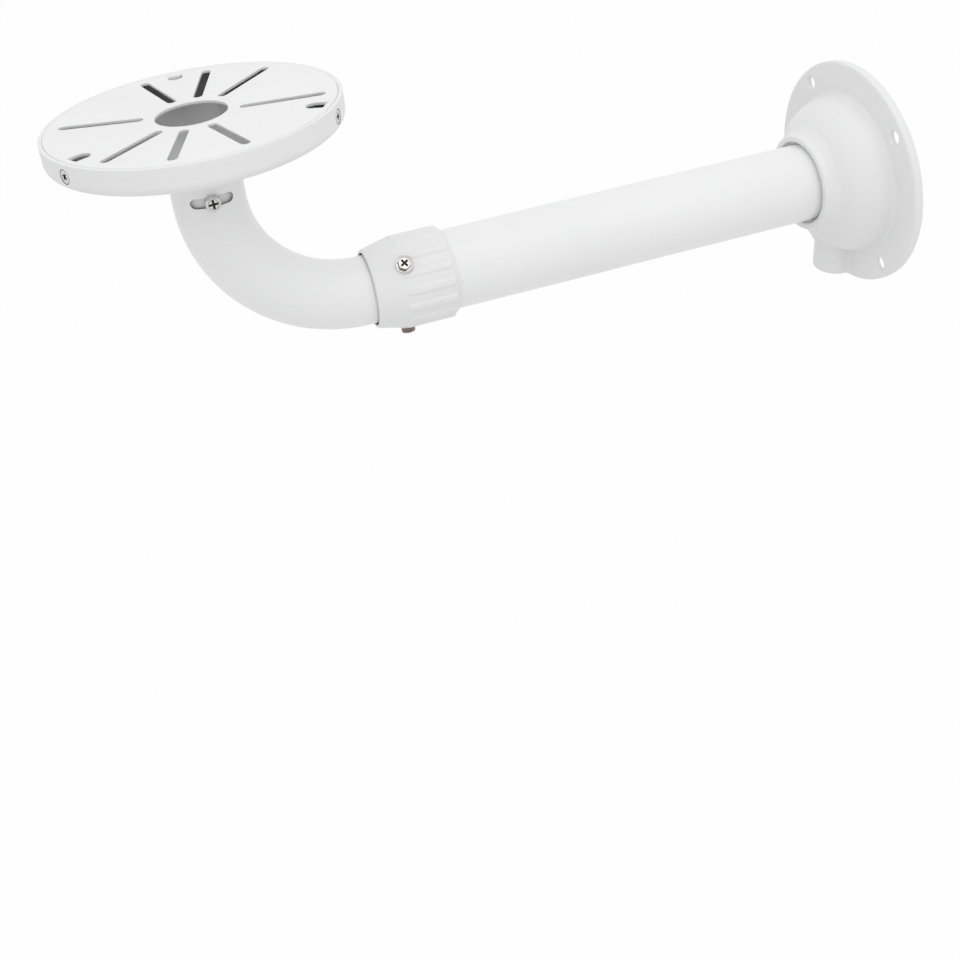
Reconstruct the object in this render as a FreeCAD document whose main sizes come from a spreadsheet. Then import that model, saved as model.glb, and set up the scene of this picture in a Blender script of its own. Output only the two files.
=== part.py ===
"""Wall bracket for a dome camera: flange, telescoping arm, elbow and slotted mounting dish.

The wall is the plane x = 0, the arm runs along -X, +Z is up, and the origin is the centre of the flange's back face.
The bracket stands in its shortest setting, with the dish turned straight and its plate level.
"""

import FreeCAD
import Part
import Sketcher
import math
import os
from types import SimpleNamespace

# driving dimensions, in millimetres, degrees and counts
SIZES = {
    # wall flange
    "flange_thickness": 5.0,
    "flange_edge_round": 0.8,
    "flange_turn": 6.5,
    "bolt_count": 4,
    "bolt_to_dome": 7.5,
    "bolt_to_edge": 8.0,
    "bolt_hole_radius": 3.5,
    "bolt_first_angle": 45.0,
    "dome_foot_radius": 49.5,
    "dome_foot_fillet": 3.8,
    "dome_depth": 23.5,
    "dome_curve_radius": 19.0,
    "shoulder_radius": 35.0,
    "flare_length": 8.9,
    "flare_round": 8.0,
    "casting_wall": 3.0,
    "ring_wall": 3.8,
    "ring_taper": 0.5,
    "ring_length": 2.6,
    "ring_round": 0.8,
    "socket_mouth_gap": 1.75,
    "socket_mouth_depth": 3.0,
    "socket_wall": 4.7,
    "socket_stop_lip": 0.75,
    "socket_stop_wall": 2.0,
    "arm_end_depth": 12.0,
    "hood_half_width": 12.0,
    "hood_straight": 6.5,
    "hood_to_edge": 1.5,
    "hood_passage_start": 38.0,
    # straight arm tube
    "arm_wall": 2.0,
    "arm_length": 275.7,
    "arm_screw_hole_radius": 2.6,
    # clamp collar
    "collar_length": 45.8,
    "collar_guide_length": 7.5,
    "collar_mouth_gap": 1.3,
    "collar_mouth_gap_depth": 4.5,
    "collar_lip_wall": 1.5,
    "collar_lip_round": 1.3,
    "collar_wall": 2.75,
    "collar_cone_length": 14.0,
    "collar_tail_length": 3.0,
    "collar_tail_wall": 0.4,
    "ridge_count": 16,
    "ridge_rise": 0.9,
    "ridge_from_cone": 1.9,
    "ridge_width_angle": 9.5,
    "collar_screw_count": 3,
    "collar_screw_turn": 45.0,
    "collar_screw_from_mouth": 17.5,
    "spot_face_depth": 0.4,
    "spot_face_radius": 5.0,
    # elbow tube
    "elbow_radius": 19.0,
    "elbow_wall": 2.0,
    "bend_radius": 72.0,
    "elbow_in_sight": 2.5,
    "elbow_neck_length": 17.0,
    "elbow_straight": 170.0,
    "swivel_slot_height": 5.5,
    "swivel_slot_half_length": 10.98,
    "groove_from_end": 5.0,
    "groove_width": 6.0,
    "groove_depth": 0.8,
    # guide ring
    "guide_ring_split": 2.0,
    "guide_ring_side_gap": 0.1,
    # cup
    "rim_radius": 76.0,
    "rim_lip": 2.0,
    "rim_edge_round": 0.5,
    "rim_wall": 5.1,
    "rim_corner_round": 5.0,
    "rim_side_height": 13.2,
    "cup_neck_overhang": 1.5,
    "cup_neck_band": 2.2,
    "cup_cone_rise": 15.3,
    "cup_floor_wall": 3.5,
    "cup_hub_lip": 2.8,
    "cup_hub_wall": 2.7,
    "spigot_wall": 1.8,
    "spigot_length": 16.8,
    "cup_floor_round": 3.0,
    # top plate
    "plate_thickness": 2.0,
    "plate_hole_radius": 18.5,
    "slot_half_width": 2.5,
    "slot_to_hole": 5.8,
    "slot_to_edge": 6.1,
    "slot_turn": 45.0,
    "slot_near_angle": 30.0,
    "slot_far_angle": 60.0,
    "tongue_count": 3,
    "tongue_half_width": 4.0,
    "tongue_cut_length": 8.3,
    "tongue_screw_drop": 6.4,
    # screws
    "small_screw_radius": 2.0,
    "small_head_radius": 4.0,
    "rim_screw_length": 9.9,
    "rim_screw_sink": 0.1,
    "rim_head_land": 0.3,
    "pan_head_side": 1.2,
    "pan_head_round": 1.5,
    "swivel_screw_length": 6.5,
    "collar_screw_radius": 2.1,
    "washer_radius": 4.5,
    "washer_thickness": 0.9,
    "hex_across_flats": 6.35,
    "hex_height": 2.8,
    "hex_corner_cut": 0.3,
    "recess_half_length": 2.2,
    "recess_half_width": 0.55,
    "recess_depth": 1.5,
    # clearances
    "seat_clearance": 0.05,
    "tube_clearance": 1.25,
    "end_clearance": 0.3,
    "sliding_clearance": 0.3,
    "guide_clearance": 0.15,
    "turning_clearance": 0.2,
    "plate_clearance": 0.3,
    "tongue_clearance": 0.2,
    "screw_hole_clearance": 0.2,
    "swivel_slot_clearance": 0.7,
}


class Size:
    """A length or an angle as a number, with the sheet expression that gives the same number."""

    def __init__(self, value, text):
        self.value = value
        self.text = text

    def __add__(self, other):
        other = as_size(other)
        return Size(self.value + other.value, f"({self.text} + {other.text})")

    def __sub__(self, other):
        other = as_size(other)
        return Size(self.value - other.value, f"({self.text} - {other.text})")

    def __mul__(self, other):
        other = as_size(other)
        return Size(self.value * other.value, f"({self.text} * {other.text})")

    def __truediv__(self, other):
        other = as_size(other)
        return Size(self.value / other.value, f"({self.text} / {other.text})")

    def __neg__(self):
        return Size(-self.value, f"(-1 * {self.text})")


def as_size(number):
    """A plain number as a Size."""
    if isinstance(number, Size):
        return number
    return Size(number, repr(number))


def cosine(angle):
    angle = as_size(angle)
    return Size(math.cos(math.radians(angle.value)), f"cos({angle.text})")


def sine(angle):
    angle = as_size(angle)
    return Size(math.sin(math.radians(angle.value)), f"sin({angle.text})")


doc = FreeCAD.newDocument("CameraBracket")
sheet = doc.addObject("Spreadsheet::Sheet", "Sizes")
for row, (alias, number) in enumerate(SIZES.items(), start=1):
    sheet.set(f"A{row}", alias)
    sheet.set(f"B{row}", str(number))
    sheet.setAlias(f"B{row}", alias)
doc.recompute()
s = SimpleNamespace(**{alias: Size(number, f"Sizes.{alias}") for alias, number in SIZES.items()})

# places that several pieces share
ARM_END = s.arm_end_depth + s.arm_length
COLLAR_MOUTH = ARM_END + s.end_clearance + s.collar_guide_length
HEAD_REACH = COLLAR_MOUTH + s.elbow_in_sight + s.bend_radius
ARM_BORE = s.elbow_radius + s.tube_clearance
ARM_RADIUS = ARM_BORE + s.arm_wall
ARM_SEAT = ARM_RADIUS + s.seat_clearance
COLLAR_VALLEY = ARM_RADIUS + s.collar_wall
SPOT_FACE_HEIGHT = COLLAR_VALLEY - s.spot_face_depth
BOLT_CIRCLE = s.dome_foot_radius + s.bolt_to_dome
FLANGE_RADIUS = BOLT_CIRCLE + s.bolt_to_edge
ELBOW_BORE = s.elbow_radius - s.elbow_wall
ELBOW_TOP = s.bend_radius + s.elbow_neck_length
SHOULDER_HEIGHT = ELBOW_TOP + s.end_clearance
SPIGOT_RADIUS = ELBOW_BORE - s.turning_clearance
SWIVEL_HEIGHT = s.bend_radius + s.swivel_slot_height
NECK_RADIUS = s.elbow_radius + s.cup_neck_overhang
NECK_HEIGHT = SHOULDER_HEIGHT + s.cup_neck_band
RIM_CORNER_HEIGHT = NECK_HEIGHT + s.cup_cone_rise
RIM_HEIGHT = RIM_CORNER_HEIGHT + s.rim_side_height
PLATE_UNDERSIDE = RIM_HEIGHT - s.plate_thickness
PLATE_RADIUS = s.rim_radius - s.rim_lip - s.plate_clearance
RIM_BORE = s.rim_radius - s.rim_wall
TONGUE_RADIUS = RIM_BORE - s.tongue_clearance - s.plate_thickness
RIM_SCREW_HEIGHT = RIM_HEIGHT - s.tongue_screw_drop
THREAD_RADIUS = s.small_screw_radius + s.seat_clearance
SCREW_ON_COLLAR = COLLAR_MOUTH - s.collar_screw_from_mouth


def bind(target, path, size):
    """Tie a property to the sheet."""
    target.setExpression(path, as_size(size).text)


def new_body(name):
    """A named body for one piece."""
    body = doc.addObject("PartDesign::Body", name)
    body.Label = name
    return body


def place(body, x=0, y=0, z=0, axis=None, angle=0):
    """Set a body's place, and its turn about one axis through its own origin."""
    x, y, z, angle = as_size(x), as_size(y), as_size(z), as_size(angle)
    rotation = FreeCAD.Rotation(FreeCAD.Vector(axis), angle.value) if axis else FreeCAD.Rotation()
    body.Placement = FreeCAD.Placement(FreeCAD.Vector(x.value, y.value, z.value), rotation)
    bind(body, "Placement.Base.x", x)
    bind(body, "Placement.Base.y", y)
    bind(body, "Placement.Base.z", z)
    if axis:
        bind(body, "Placement.Rotation.Angle", angle)


def origin_item(body, role):
    """One of the body's own origin planes or axes."""
    return next(item for item in body.Origin.OriginFeatures if item.Role == role)


def new_sketch(body, name, plane, lift=0):
    """A sketch on one of the body's origin planes, moved along the plane's normal."""
    sketch = body.newObject("Sketcher::SketchObject", name)
    sketch.AttachmentSupport = (origin_item(body, plane), [""])
    sketch.MapMode = "FlatFace"
    bind(sketch, "AttachmentOffset.Base.z", lift)
    return sketch


def constrain(sketch, kind, *where, size):
    """Add one dimension to the sketch and tie it to the sheet."""
    index = sketch.addConstraint(Sketcher.Constraint(kind, *where, as_size(size).value))
    bind(sketch, f"Constraints[{index}]", size)


START, END, CENTRE = range(1, 4)
ORIGIN = (-1, 1)


def add_circle(sketch, x, y, radius):
    """A circle with its centre and radius bound to the sheet."""
    x, y, radius = as_size(x), as_size(y), as_size(radius)
    centre = FreeCAD.Vector(x.value, y.value, 0)
    circle = sketch.addGeometry(Part.Circle(centre, FreeCAD.Vector(0, 0, 1), radius.value))
    constrain(sketch, "DistanceX", *ORIGIN, circle, CENTRE, size=x)
    constrain(sketch, "DistanceY", *ORIGIN, circle, CENTRE, size=y)
    constrain(sketch, "Radius", circle, size=radius)


def arc_between(first, last, radius):
    """An arc from first to last that turns left for a positive radius and right for a negative one."""
    chord = last - first
    sideways = FreeCAD.Vector(-chord.y, chord.x, 0).normalize()
    height = math.sqrt(max(radius * radius - chord.Length * chord.Length / 4, 0))
    centre = (first + last) * 0.5 + sideways * math.copysign(height, radius)
    begin, finish = (first, last) if radius > 0 else (last, first)
    angles = [math.atan2(point.y - centre.y, point.x - centre.x) for point in (begin, finish)]
    return Part.ArcOfCircle(Part.Circle(centre, FreeCAD.Vector(0, 0, 1), abs(radius)), *angles)


def add_outline(sketch, corners):
    """A closed outline through the corners, each bound to the sheet.

    A corner is (x, y), or (x, y, bulge) where the edge that leaves it is an arc. The bulge is the arc's radius,
    negative for an arc that turns right, or "half" for a half circle that turns left.
    """
    corners = [tuple(corner) + (None,) * (3 - len(corner)) for corner in corners]
    points = [FreeCAD.Vector(as_size(x).value, as_size(y).value, 0) for x, y, _ in corners]
    edges = []
    for index, (x, y, bulge) in enumerate(corners):
        after = (index + 1) % len(corners)
        first, last = points[index], points[after]
        if bulge is None:
            edges.append((sketch.addGeometry(Part.LineSegment(first, last)), START, END))
        elif bulge == "half":
            radius = (last - first).Length / 2
            edges.append((sketch.addGeometry(arc_between(first, last, radius)), START, END))
        else:
            turn = as_size(bulge).value
            ends = (START, END) if turn > 0 else (END, START)
            edges.append((sketch.addGeometry(arc_between(first, last, turn)), *ends))
    for index, (x, y, bulge) in enumerate(corners):
        after = (index + 1) % len(corners)
        edge, begin, finish = edges[index]
        next_edge, next_begin, _ = edges[after]
        sketch.addConstraint(Sketcher.Constraint("Coincident", edge, finish, next_edge, next_begin))
        constrain(sketch, "DistanceX", *ORIGIN, edge, begin, size=x)
        constrain(sketch, "DistanceY", *ORIGIN, edge, begin, size=y)
        if bulge == "half":
            next_x, next_y, _ = corners[after]
            chord = points[after] - points[index]
            if abs(chord.y) > abs(chord.x):
                constrain(sketch, "DistanceX", *ORIGIN, edge, CENTRE, size=(as_size(x) + next_x) / 2)
            else:
                constrain(sketch, "DistanceY", *ORIGIN, edge, CENTRE, size=(as_size(y) + next_y) / 2)
        elif bulge is not None:
            size = as_size(bulge)
            constrain(sketch, "Radius", edge, size=size if size.value > 0 else -size)


def slot_outline(inner, outer, half_width, angle):
    """The outline of a round-ended slot along a ray from the origin, inner and outer being its tips."""
    along, across = (cosine(angle), sine(angle)), (-sine(angle), cosine(angle))
    near, far = inner + half_width, outer - half_width
    corners = []
    for reach, side, bulge in ((near, -1, None), (far, -1, "half"), (far, 1, None), (near, 1, "half")):
        x = along[0] * reach + across[0] * half_width * side
        y = along[1] * reach + across[1] * half_width * side
        corners.append((x, y, bulge))
    return corners


def turned(body, name, corners, axis="H_Axis", plane="XZ_Plane", lift=0, cut=False):
    """Revolve an outline of (along, radius) corners about a sketch axis, to add it or to cut it."""
    sketch = new_sketch(body, name + "Profile", plane, lift)
    if axis == "V_Axis":
        corners = [(radius, along) for along, radius in corners]
    add_outline(sketch, corners)
    feature = body.newObject("PartDesign::Groove" if cut else "PartDesign::Revolution", name)
    feature.Profile = sketch
    feature.ReferenceAxis = (sketch, [axis])
    feature.Angle = 360
    body.Tip = feature
    return feature


def extruded(body, name, sketch, length=None, cut=False, both=False, backwards=False):
    """Pad or pocket a sketch by a length, or through everything where no length is given."""
    feature = body.newObject("PartDesign::Pocket" if cut else "PartDesign::Pad", name)
    feature.Profile = sketch
    if length is None:
        feature.Type = "ThroughAll"
    else:
        bind(feature, "Length", length)
    if both:
        feature.SideType = "Symmetric"
    feature.Reversed = backwards
    body.Tip = feature
    return feature


def patterned(body, name, features, count, role):
    """Repeat features evenly about one of the body's axes."""
    pattern = body.newObject("PartDesign::PolarPattern", name)
    pattern.Originals = features
    pattern.Axis = (origin_item(body, role), [""])
    pattern.Angle = 360
    bind(pattern, "Occurrences", count)
    body.Tip = pattern
    return pattern


def rounded(body, name, radius, *rims):
    """Round circular edges, each given by its radius and its centre's place along the turning axis."""
    doc.recompute()
    base = body.Tip
    names = []
    for index, edge in enumerate(base.Shape.Edges, start=1):
        curve = edge.Curve
        if not isinstance(curve, Part.Circle):
            continue
        for rim_radius, along in rims:
            place_along = curve.Center.dot(FreeCAD.Vector(1, 0, 1))
            if abs(curve.Radius - rim_radius.value) < 1e-4 and abs(place_along - along.value) < 1e-4:
                names.append(f"Edge{index}")
    feature = body.newObject("PartDesign::Fillet", name)
    feature.Base = (base, names)
    bind(feature, "Radius", radius)
    body.Tip = feature
    return feature


def wall_flange():
    """One casting: a disc with a hollow dome, a socket for the arm and a cable hood at its foot."""
    body = new_body("wall_flange")
    place(body, axis=(1, 0, 0), angle=s.flange_turn)
    face = -s.flange_thickness
    ring_base = -(s.dome_depth + s.flare_length)
    ring_face = ring_base - s.ring_length
    mouth_radius = ARM_RADIUS + s.socket_mouth_gap
    ring_radius = mouth_radius + s.ring_wall
    boss_radius = ARM_SEAT + s.socket_wall
    turned(body, "Outside", [
        (0, 0),
        (0, FLANGE_RADIUS),
        (face, FLANGE_RADIUS),
        (face, s.dome_foot_radius, s.dome_curve_radius),
        (-s.dome_depth, s.shoulder_radius),
        (ring_base, ring_radius + s.ring_taper),
        (ring_face, ring_radius),
        (ring_face, 0),
    ])
    stop = -s.arm_end_depth
    back_of_stop = stop + s.socket_stop_wall
    turned(body, "Cavity", [
        (0, 0),
        (0, s.dome_foot_radius - s.casting_wall),
        (face, s.dome_foot_radius - s.casting_wall, s.dome_curve_radius - s.casting_wall),
        (-s.dome_depth + s.casting_wall, s.shoulder_radius - s.casting_wall / 5),
        (-s.dome_depth + s.casting_wall, boss_radius),
        (back_of_stop, boss_radius),
        (back_of_stop, 0),
    ], cut=True)
    turned(body, "Socket", [
        (back_of_stop, 0),
        (back_of_stop, ARM_BORE - s.socket_stop_lip),
        (stop, ARM_BORE - s.socket_stop_lip),
        (stop, ARM_SEAT),
        (ring_face + s.socket_mouth_depth, ARM_SEAT),
        (ring_face + s.socket_mouth_depth, mouth_radius),
        (ring_face, mouth_radius),
        (ring_face, 0),
    ], cut=True)

    rounded(body, "DiscEdge", s.flange_edge_round, (FLANGE_RADIUS, face))
    rounded(body, "RingEdge", s.ring_round, (ring_radius, ring_face))
    rounded(body, "FlareRound", s.flare_round, (s.shoulder_radius, -s.dome_depth))

    hood_start = s.dome_foot_radius - s.casting_wall * 2
    hood = new_sketch(body, "HoodSection", "XY_Plane", -hood_start)
    add_outline(hood, [
        (0, -s.hood_half_width),
        (0, s.hood_half_width),
        (-s.hood_straight, s.hood_half_width, "half"),
        (-s.hood_straight, -s.hood_half_width),
    ])
    extruded(body, "Hood", hood, FLANGE_RADIUS - s.hood_to_edge - hood_start, backwards=True)
    passage = new_sketch(body, "PassageSection", "XY_Plane", -s.hood_passage_start)
    half_width = s.hood_half_width - s.casting_wall
    add_outline(passage, [
        (0, -half_width),
        (0, half_width),
        (-s.hood_straight, half_width, "half"),
        (-s.hood_straight, -half_width),
    ])
    extruded(body, "Passage", passage, cut=True)

    bolt_hole = new_sketch(body, "BoltHoleCircle", "YZ_Plane")
    add_circle(
        bolt_hole,
        BOLT_CIRCLE * cosine(s.bolt_first_angle),
        BOLT_CIRCLE * sine(s.bolt_first_angle),
        s.bolt_hole_radius,
    )
    hole = extruded(body, "BoltHole", bolt_hole, cut=True, both=True)
    patterned(body, "BoltHoles", [hole], s.bolt_count, "X_Axis")
    rounded(body, "DomeFoot", s.dome_foot_fillet, (s.dome_foot_radius, face))
    return body


def arm_tube():
    """The straight tube, with clearance holes for the collar's screws near its outer end."""
    body = new_body("arm_tube")
    place(body, x=-s.arm_end_depth, axis=(1, 0, 0), angle=s.collar_screw_turn)
    section = new_sketch(body, "Section", "YZ_Plane")
    add_circle(section, 0, 0, ARM_RADIUS)
    add_circle(section, 0, 0, ARM_BORE)
    extruded(body, "Tube", section, s.arm_length, backwards=True)
    circle = new_sketch(body, "ScrewHoleCircle", "XY_Plane")
    add_circle(circle, s.arm_end_depth - SCREW_ON_COLLAR, 0, s.arm_screw_hole_radius)
    hole = extruded(body, "ScrewHole", circle, cut=True, backwards=True)
    patterned(body, "ScrewHoles", [hole], s.collar_screw_count, "X_Axis")
    return body


def collar():
    """The clamp collar: a cone, ridges to grip, flats for its screws, and a bore that guides the elbow tube."""
    body = new_body("collar")
    place(body, x=-COLLAR_MOUTH, axis=(1, 0, 0), angle=s.collar_screw_turn)
    guide_bore = s.elbow_radius + s.sliding_clearance
    mouth_radius = s.elbow_radius + s.collar_mouth_gap
    lip_radius = mouth_radius + s.collar_lip_wall
    ridge_start = s.collar_cone_length + s.ridge_from_cone
    ridge_end = s.collar_length - s.collar_tail_length
    turned(body, "Sleeve", [
        (0, mouth_radius),
        (0, lip_radius),
        (s.collar_cone_length, COLLAR_VALLEY),
        (ridge_end, COLLAR_VALLEY),
        (s.collar_length, ARM_RADIUS + s.collar_tail_wall),
        (s.collar_length, ARM_SEAT),
        (s.collar_guide_length, ARM_SEAT),
        (s.collar_guide_length, guide_bore),
        (s.collar_mouth_gap_depth, guide_bore),
        (s.collar_mouth_gap_depth, mouth_radius),
    ])
    rounded(body, "LipEdge", s.collar_lip_round, (lip_radius, as_size(0)))

    ridge = new_sketch(body, "RidgeSection", "YZ_Plane", ridge_start)
    root = (COLLAR_VALLEY + ARM_SEAT) / 2
    crest = COLLAR_VALLEY + s.ridge_rise
    middle = as_size(180) / s.ridge_count
    low, high = middle - s.ridge_width_angle / 2, middle + s.ridge_width_angle / 2
    add_outline(ridge, [
        (root * cosine(low), root * sine(low)),
        (crest * cosine(low), crest * sine(low), crest),
        (crest * cosine(high), crest * sine(high)),
        (root * cosine(high), root * sine(high), -root),
    ])
    pad = extruded(body, "Ridge", ridge, ridge_end - ridge_start)
    patterned(body, "Ridges", [pad], s.ridge_count, "X_Axis")

    flat = new_sketch(body, "SpotFaceCircle", "XY_Plane", SPOT_FACE_HEIGHT)
    add_circle(flat, s.collar_screw_from_mouth, 0, s.spot_face_radius)
    spot_face = extruded(body, "SpotFace", flat, cut=True, backwards=True)
    circle = new_sketch(body, "ScrewHoleCircle", "XY_Plane")
    add_circle(circle, s.collar_screw_from_mouth, 0, s.collar_screw_radius + s.seat_clearance)
    hole = extruded(body, "ScrewHole", circle, cut=True, backwards=True)
    patterned(body, "ScrewSeats", [spot_face, hole], s.collar_screw_count, "X_Axis")
    return body


def elbow_tube():
    """The bent tube, with two arc slots under the dish and a groove for the guide ring."""
    body = new_body("elbow_tube")
    place(body, x=-HEAD_REACH)
    inner_end = s.bend_radius + s.elbow_straight
    path = new_sketch(body, "Path", "XZ_Plane")
    corners = [(0, ELBOW_TOP), (0, s.bend_radius), (s.bend_radius, 0), (inner_end, 0)]
    points = [FreeCAD.Vector(as_size(x).value, as_size(z).value, 0) for x, z in corners]
    neck = path.addGeometry(Part.LineSegment(points[0], points[1]))
    bend = path.addGeometry(arc_between(points[1], points[2], s.bend_radius.value))
    straight = path.addGeometry(Part.LineSegment(points[2], points[3]))
    path.addConstraint(Sketcher.Constraint("Coincident", neck, END, bend, START))
    path.addConstraint(Sketcher.Constraint("Coincident", bend, END, straight, START))
    for (x, z), edge, end in zip(corners, (neck, bend, straight, straight), (START, START, START, END)):
        constrain(path, "DistanceX", *ORIGIN, edge, end, size=x)
        constrain(path, "DistanceY", *ORIGIN, edge, end, size=z)
    constrain(path, "Radius", bend, size=s.bend_radius)

    section = new_sketch(body, "Section", "XY_Plane", ELBOW_TOP)
    add_circle(section, 0, 0, s.elbow_radius)
    add_circle(section, 0, 0, ELBOW_BORE)
    pipe = body.newObject("PartDesign::AdditivePipe", "Tube")
    pipe.Profile = section
    pipe.Spine = (path, ["Edge1", "Edge2", "Edge3"])
    body.Tip = pipe

    slot = new_sketch(body, "SwivelSlotOutline", "XZ_Plane")
    half_width = s.small_screw_radius + s.swivel_slot_clearance
    reach = s.swivel_slot_half_length - half_width
    add_outline(slot, [
        (-reach, SWIVEL_HEIGHT - half_width),
        (reach, SWIVEL_HEIGHT - half_width, "half"),
        (reach, SWIVEL_HEIGHT + half_width),
        (-reach, SWIVEL_HEIGHT + half_width, "half"),
    ])
    extruded(body, "SwivelSlots", slot, cut=True, both=True)

    groove_end = inner_end - s.groove_from_end
    turned(body, "RingGroove", [
        (groove_end, s.elbow_radius - s.groove_depth),
        (groove_end, s.elbow_radius + s.elbow_wall),
        (groove_end - s.groove_width, s.elbow_radius + s.elbow_wall),
        (groove_end - s.groove_width, s.elbow_radius - s.groove_depth),
    ], cut=True)
    return body


def guide_ring():
    """A split ring that rides in the elbow tube's groove and slides in the arm."""
    body = new_body("guide_ring")
    groove_middle = s.bend_radius + s.elbow_straight - s.groove_from_end - s.groove_width / 2
    place(body, x=groove_middle - HEAD_REACH)
    section = new_sketch(body, "Section", "YZ_Plane")
    add_circle(section, 0, 0, ARM_BORE - s.guide_clearance)
    add_circle(section, 0, 0, s.elbow_radius - s.groove_depth + s.guide_clearance)
    extruded(body, "Ring", section, s.groove_width - s.guide_ring_side_gap * 2, both=True)
    gap = new_sketch(body, "SplitSection", "YZ_Plane")
    add_outline(gap, [
        (-s.guide_ring_split / 2, 0),
        (s.guide_ring_split / 2, 0),
        (s.guide_ring_split / 2, ARM_RADIUS),
        (-s.guide_ring_split / 2, ARM_RADIUS),
    ])
    extruded(body, "Split", gap, cut=True, both=True)
    return body


def cup():
    """The dish: one casting with a rebated rim, a sloping floor and a spigot that turns in the elbow tube."""
    body = new_body("cup")
    place(body, x=-HEAD_REACH)
    spigot_bore = SPIGOT_RADIUS - s.spigot_wall
    hub_radius = spigot_bore - s.cup_hub_lip
    slope = s.cup_cone_rise / (s.rim_radius - NECK_RADIUS)
    hub_height = NECK_HEIGHT + s.cup_floor_wall - (NECK_RADIUS - hub_radius) * slope
    roof_height = hub_height - s.cup_hub_wall
    floor_edge = NECK_HEIGHT + s.cup_floor_wall + (RIM_BORE - NECK_RADIUS) * slope
    ledge_radius = s.rim_radius - s.rim_lip
    turned(body, "Dish", [
        (RIM_HEIGHT, s.rim_radius),
        (RIM_HEIGHT, ledge_radius),
        (PLATE_UNDERSIDE, ledge_radius),
        (PLATE_UNDERSIDE, RIM_BORE),
        (floor_edge, RIM_BORE),
        (hub_height, hub_radius),
        (roof_height, hub_radius),
        (roof_height, spigot_bore),
        (SHOULDER_HEIGHT - s.spigot_length, spigot_bore),
        (SHOULDER_HEIGHT - s.spigot_length, SPIGOT_RADIUS),
        (SHOULDER_HEIGHT, SPIGOT_RADIUS),
        (SHOULDER_HEIGHT, NECK_RADIUS),
        (NECK_HEIGHT, NECK_RADIUS),
        (RIM_CORNER_HEIGHT, s.rim_radius),
    ], axis="V_Axis")
    rounded(body, "OuterCorner", s.rim_corner_round, (s.rim_radius, RIM_CORNER_HEIGHT))
    rounded(body, "InnerCorner", s.cup_floor_round, (RIM_BORE, floor_edge))
    rounded(body, "TopEdge", s.rim_edge_round, (s.rim_radius, RIM_HEIGHT))

    head_face = s.rim_radius - s.rim_screw_sink
    head_radius = s.small_head_radius + s.seat_clearance
    hole_radius = s.small_screw_radius + s.screw_hole_clearance
    land_end = head_face - s.rim_head_land - s.seat_clearance
    hole = turned(body, "RimScrewSeat", [
        (s.rim_radius + s.rim_screw_sink, 0),
        (s.rim_radius + s.rim_screw_sink, head_radius),
        (land_end, head_radius),
        (land_end - (head_radius - hole_radius), hole_radius),
        (RIM_BORE - s.plate_thickness, hole_radius),
        (RIM_BORE - s.plate_thickness, 0),
    ], axis="V_Axis", plane="XY_Plane", lift=RIM_SCREW_HEIGHT, cut=True)
    patterned(body, "RimScrewSeats", [hole], s.tongue_count, "Z_Axis")

    thread = new_sketch(body, "SwivelThreadCircle", "XZ_Plane")
    add_circle(thread, 0, SWIVEL_HEIGHT, THREAD_RADIUS)
    extruded(body, "SwivelThreads", thread, cut=True, both=True)
    return body


def top_plate():
    """The round plate with radial slots for the camera and tongues bent down inside the rim."""
    body = new_body("top_plate")
    place(body, x=-HEAD_REACH)
    disc = new_sketch(body, "DiscCircles", "XY_Plane", PLATE_UNDERSIDE)
    add_circle(disc, 0, 0, PLATE_RADIUS)
    add_circle(disc, 0, 0, s.plate_hole_radius)
    extruded(body, "Disc", disc, s.plate_thickness)

    slots = new_sketch(body, "SlotOutlines", "XY_Plane")
    inner_tip, outer_tip = s.plate_hole_radius + s.slot_to_hole, PLATE_RADIUS - s.slot_to_edge
    for angle in (
        s.slot_turn - s.slot_far_angle,
        s.slot_turn,
        s.slot_turn + s.slot_near_angle,
        s.slot_turn + s.slot_far_angle,
    ):
        add_outline(slots, slot_outline(inner_tip, outer_tip, s.slot_half_width, angle))
    pocket = extruded(body, "SlotCuts", slots, cut=True, backwards=True)
    patterned(body, "Slots", [pocket], 2, "Z_Axis")

    side = s.tongue_half_width
    straight_end = TONGUE_RADIUS - s.tongue_cut_length + side
    opening = new_sketch(body, "TongueCutOutline", "XY_Plane")
    add_outline(opening, [
        (side, straight_end),
        (side, TONGUE_RADIUS),
        (-side, TONGUE_RADIUS),
        (-side, straight_end, "half"),
    ])
    cut = extruded(body, "TongueCut", opening, cut=True, backwards=True)
    patterned(body, "TongueCuts", [cut], s.tongue_count, "Z_Axis")

    outline = new_sketch(body, "TongueOutline", "XZ_Plane", -TONGUE_RADIUS)
    add_outline(outline, [
        (side, RIM_HEIGHT),
        (-side, RIM_HEIGHT),
        (-side, RIM_SCREW_HEIGHT, "half"),
        (side, RIM_SCREW_HEIGHT),
    ])
    tongue = extruded(body, "Tongue", outline, s.plate_thickness, backwards=True)
    patterned(body, "Tongues", [tongue], s.tongue_count, "Z_Axis")
    circle = new_sketch(body, "TongueHoleCircle", "XZ_Plane")
    add_circle(circle, 0, RIM_SCREW_HEIGHT, THREAD_RADIUS)
    hole = extruded(body, "TongueHole", circle, cut=True)
    patterned(body, "TongueHoles", [hole], s.tongue_count, "Z_Axis")
    return body


def cross_recess(body, plane, height):
    """A cross for the screwdriver, sunk into the top of a head."""
    sketch = new_sketch(body, "RecessOutline", plane, height)
    long, short = s.recess_half_length, s.recess_half_width
    add_outline(sketch, [
        (long, -short), (long, short), (short, short), (short, long),
        (-short, long), (-short, short), (-long, short), (-long, -short),
        (-short, -short), (-short, -long), (short, -long), (short, -short),
    ])
    extruded(body, "Recess", sketch, s.recess_depth, cut=True)


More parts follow.
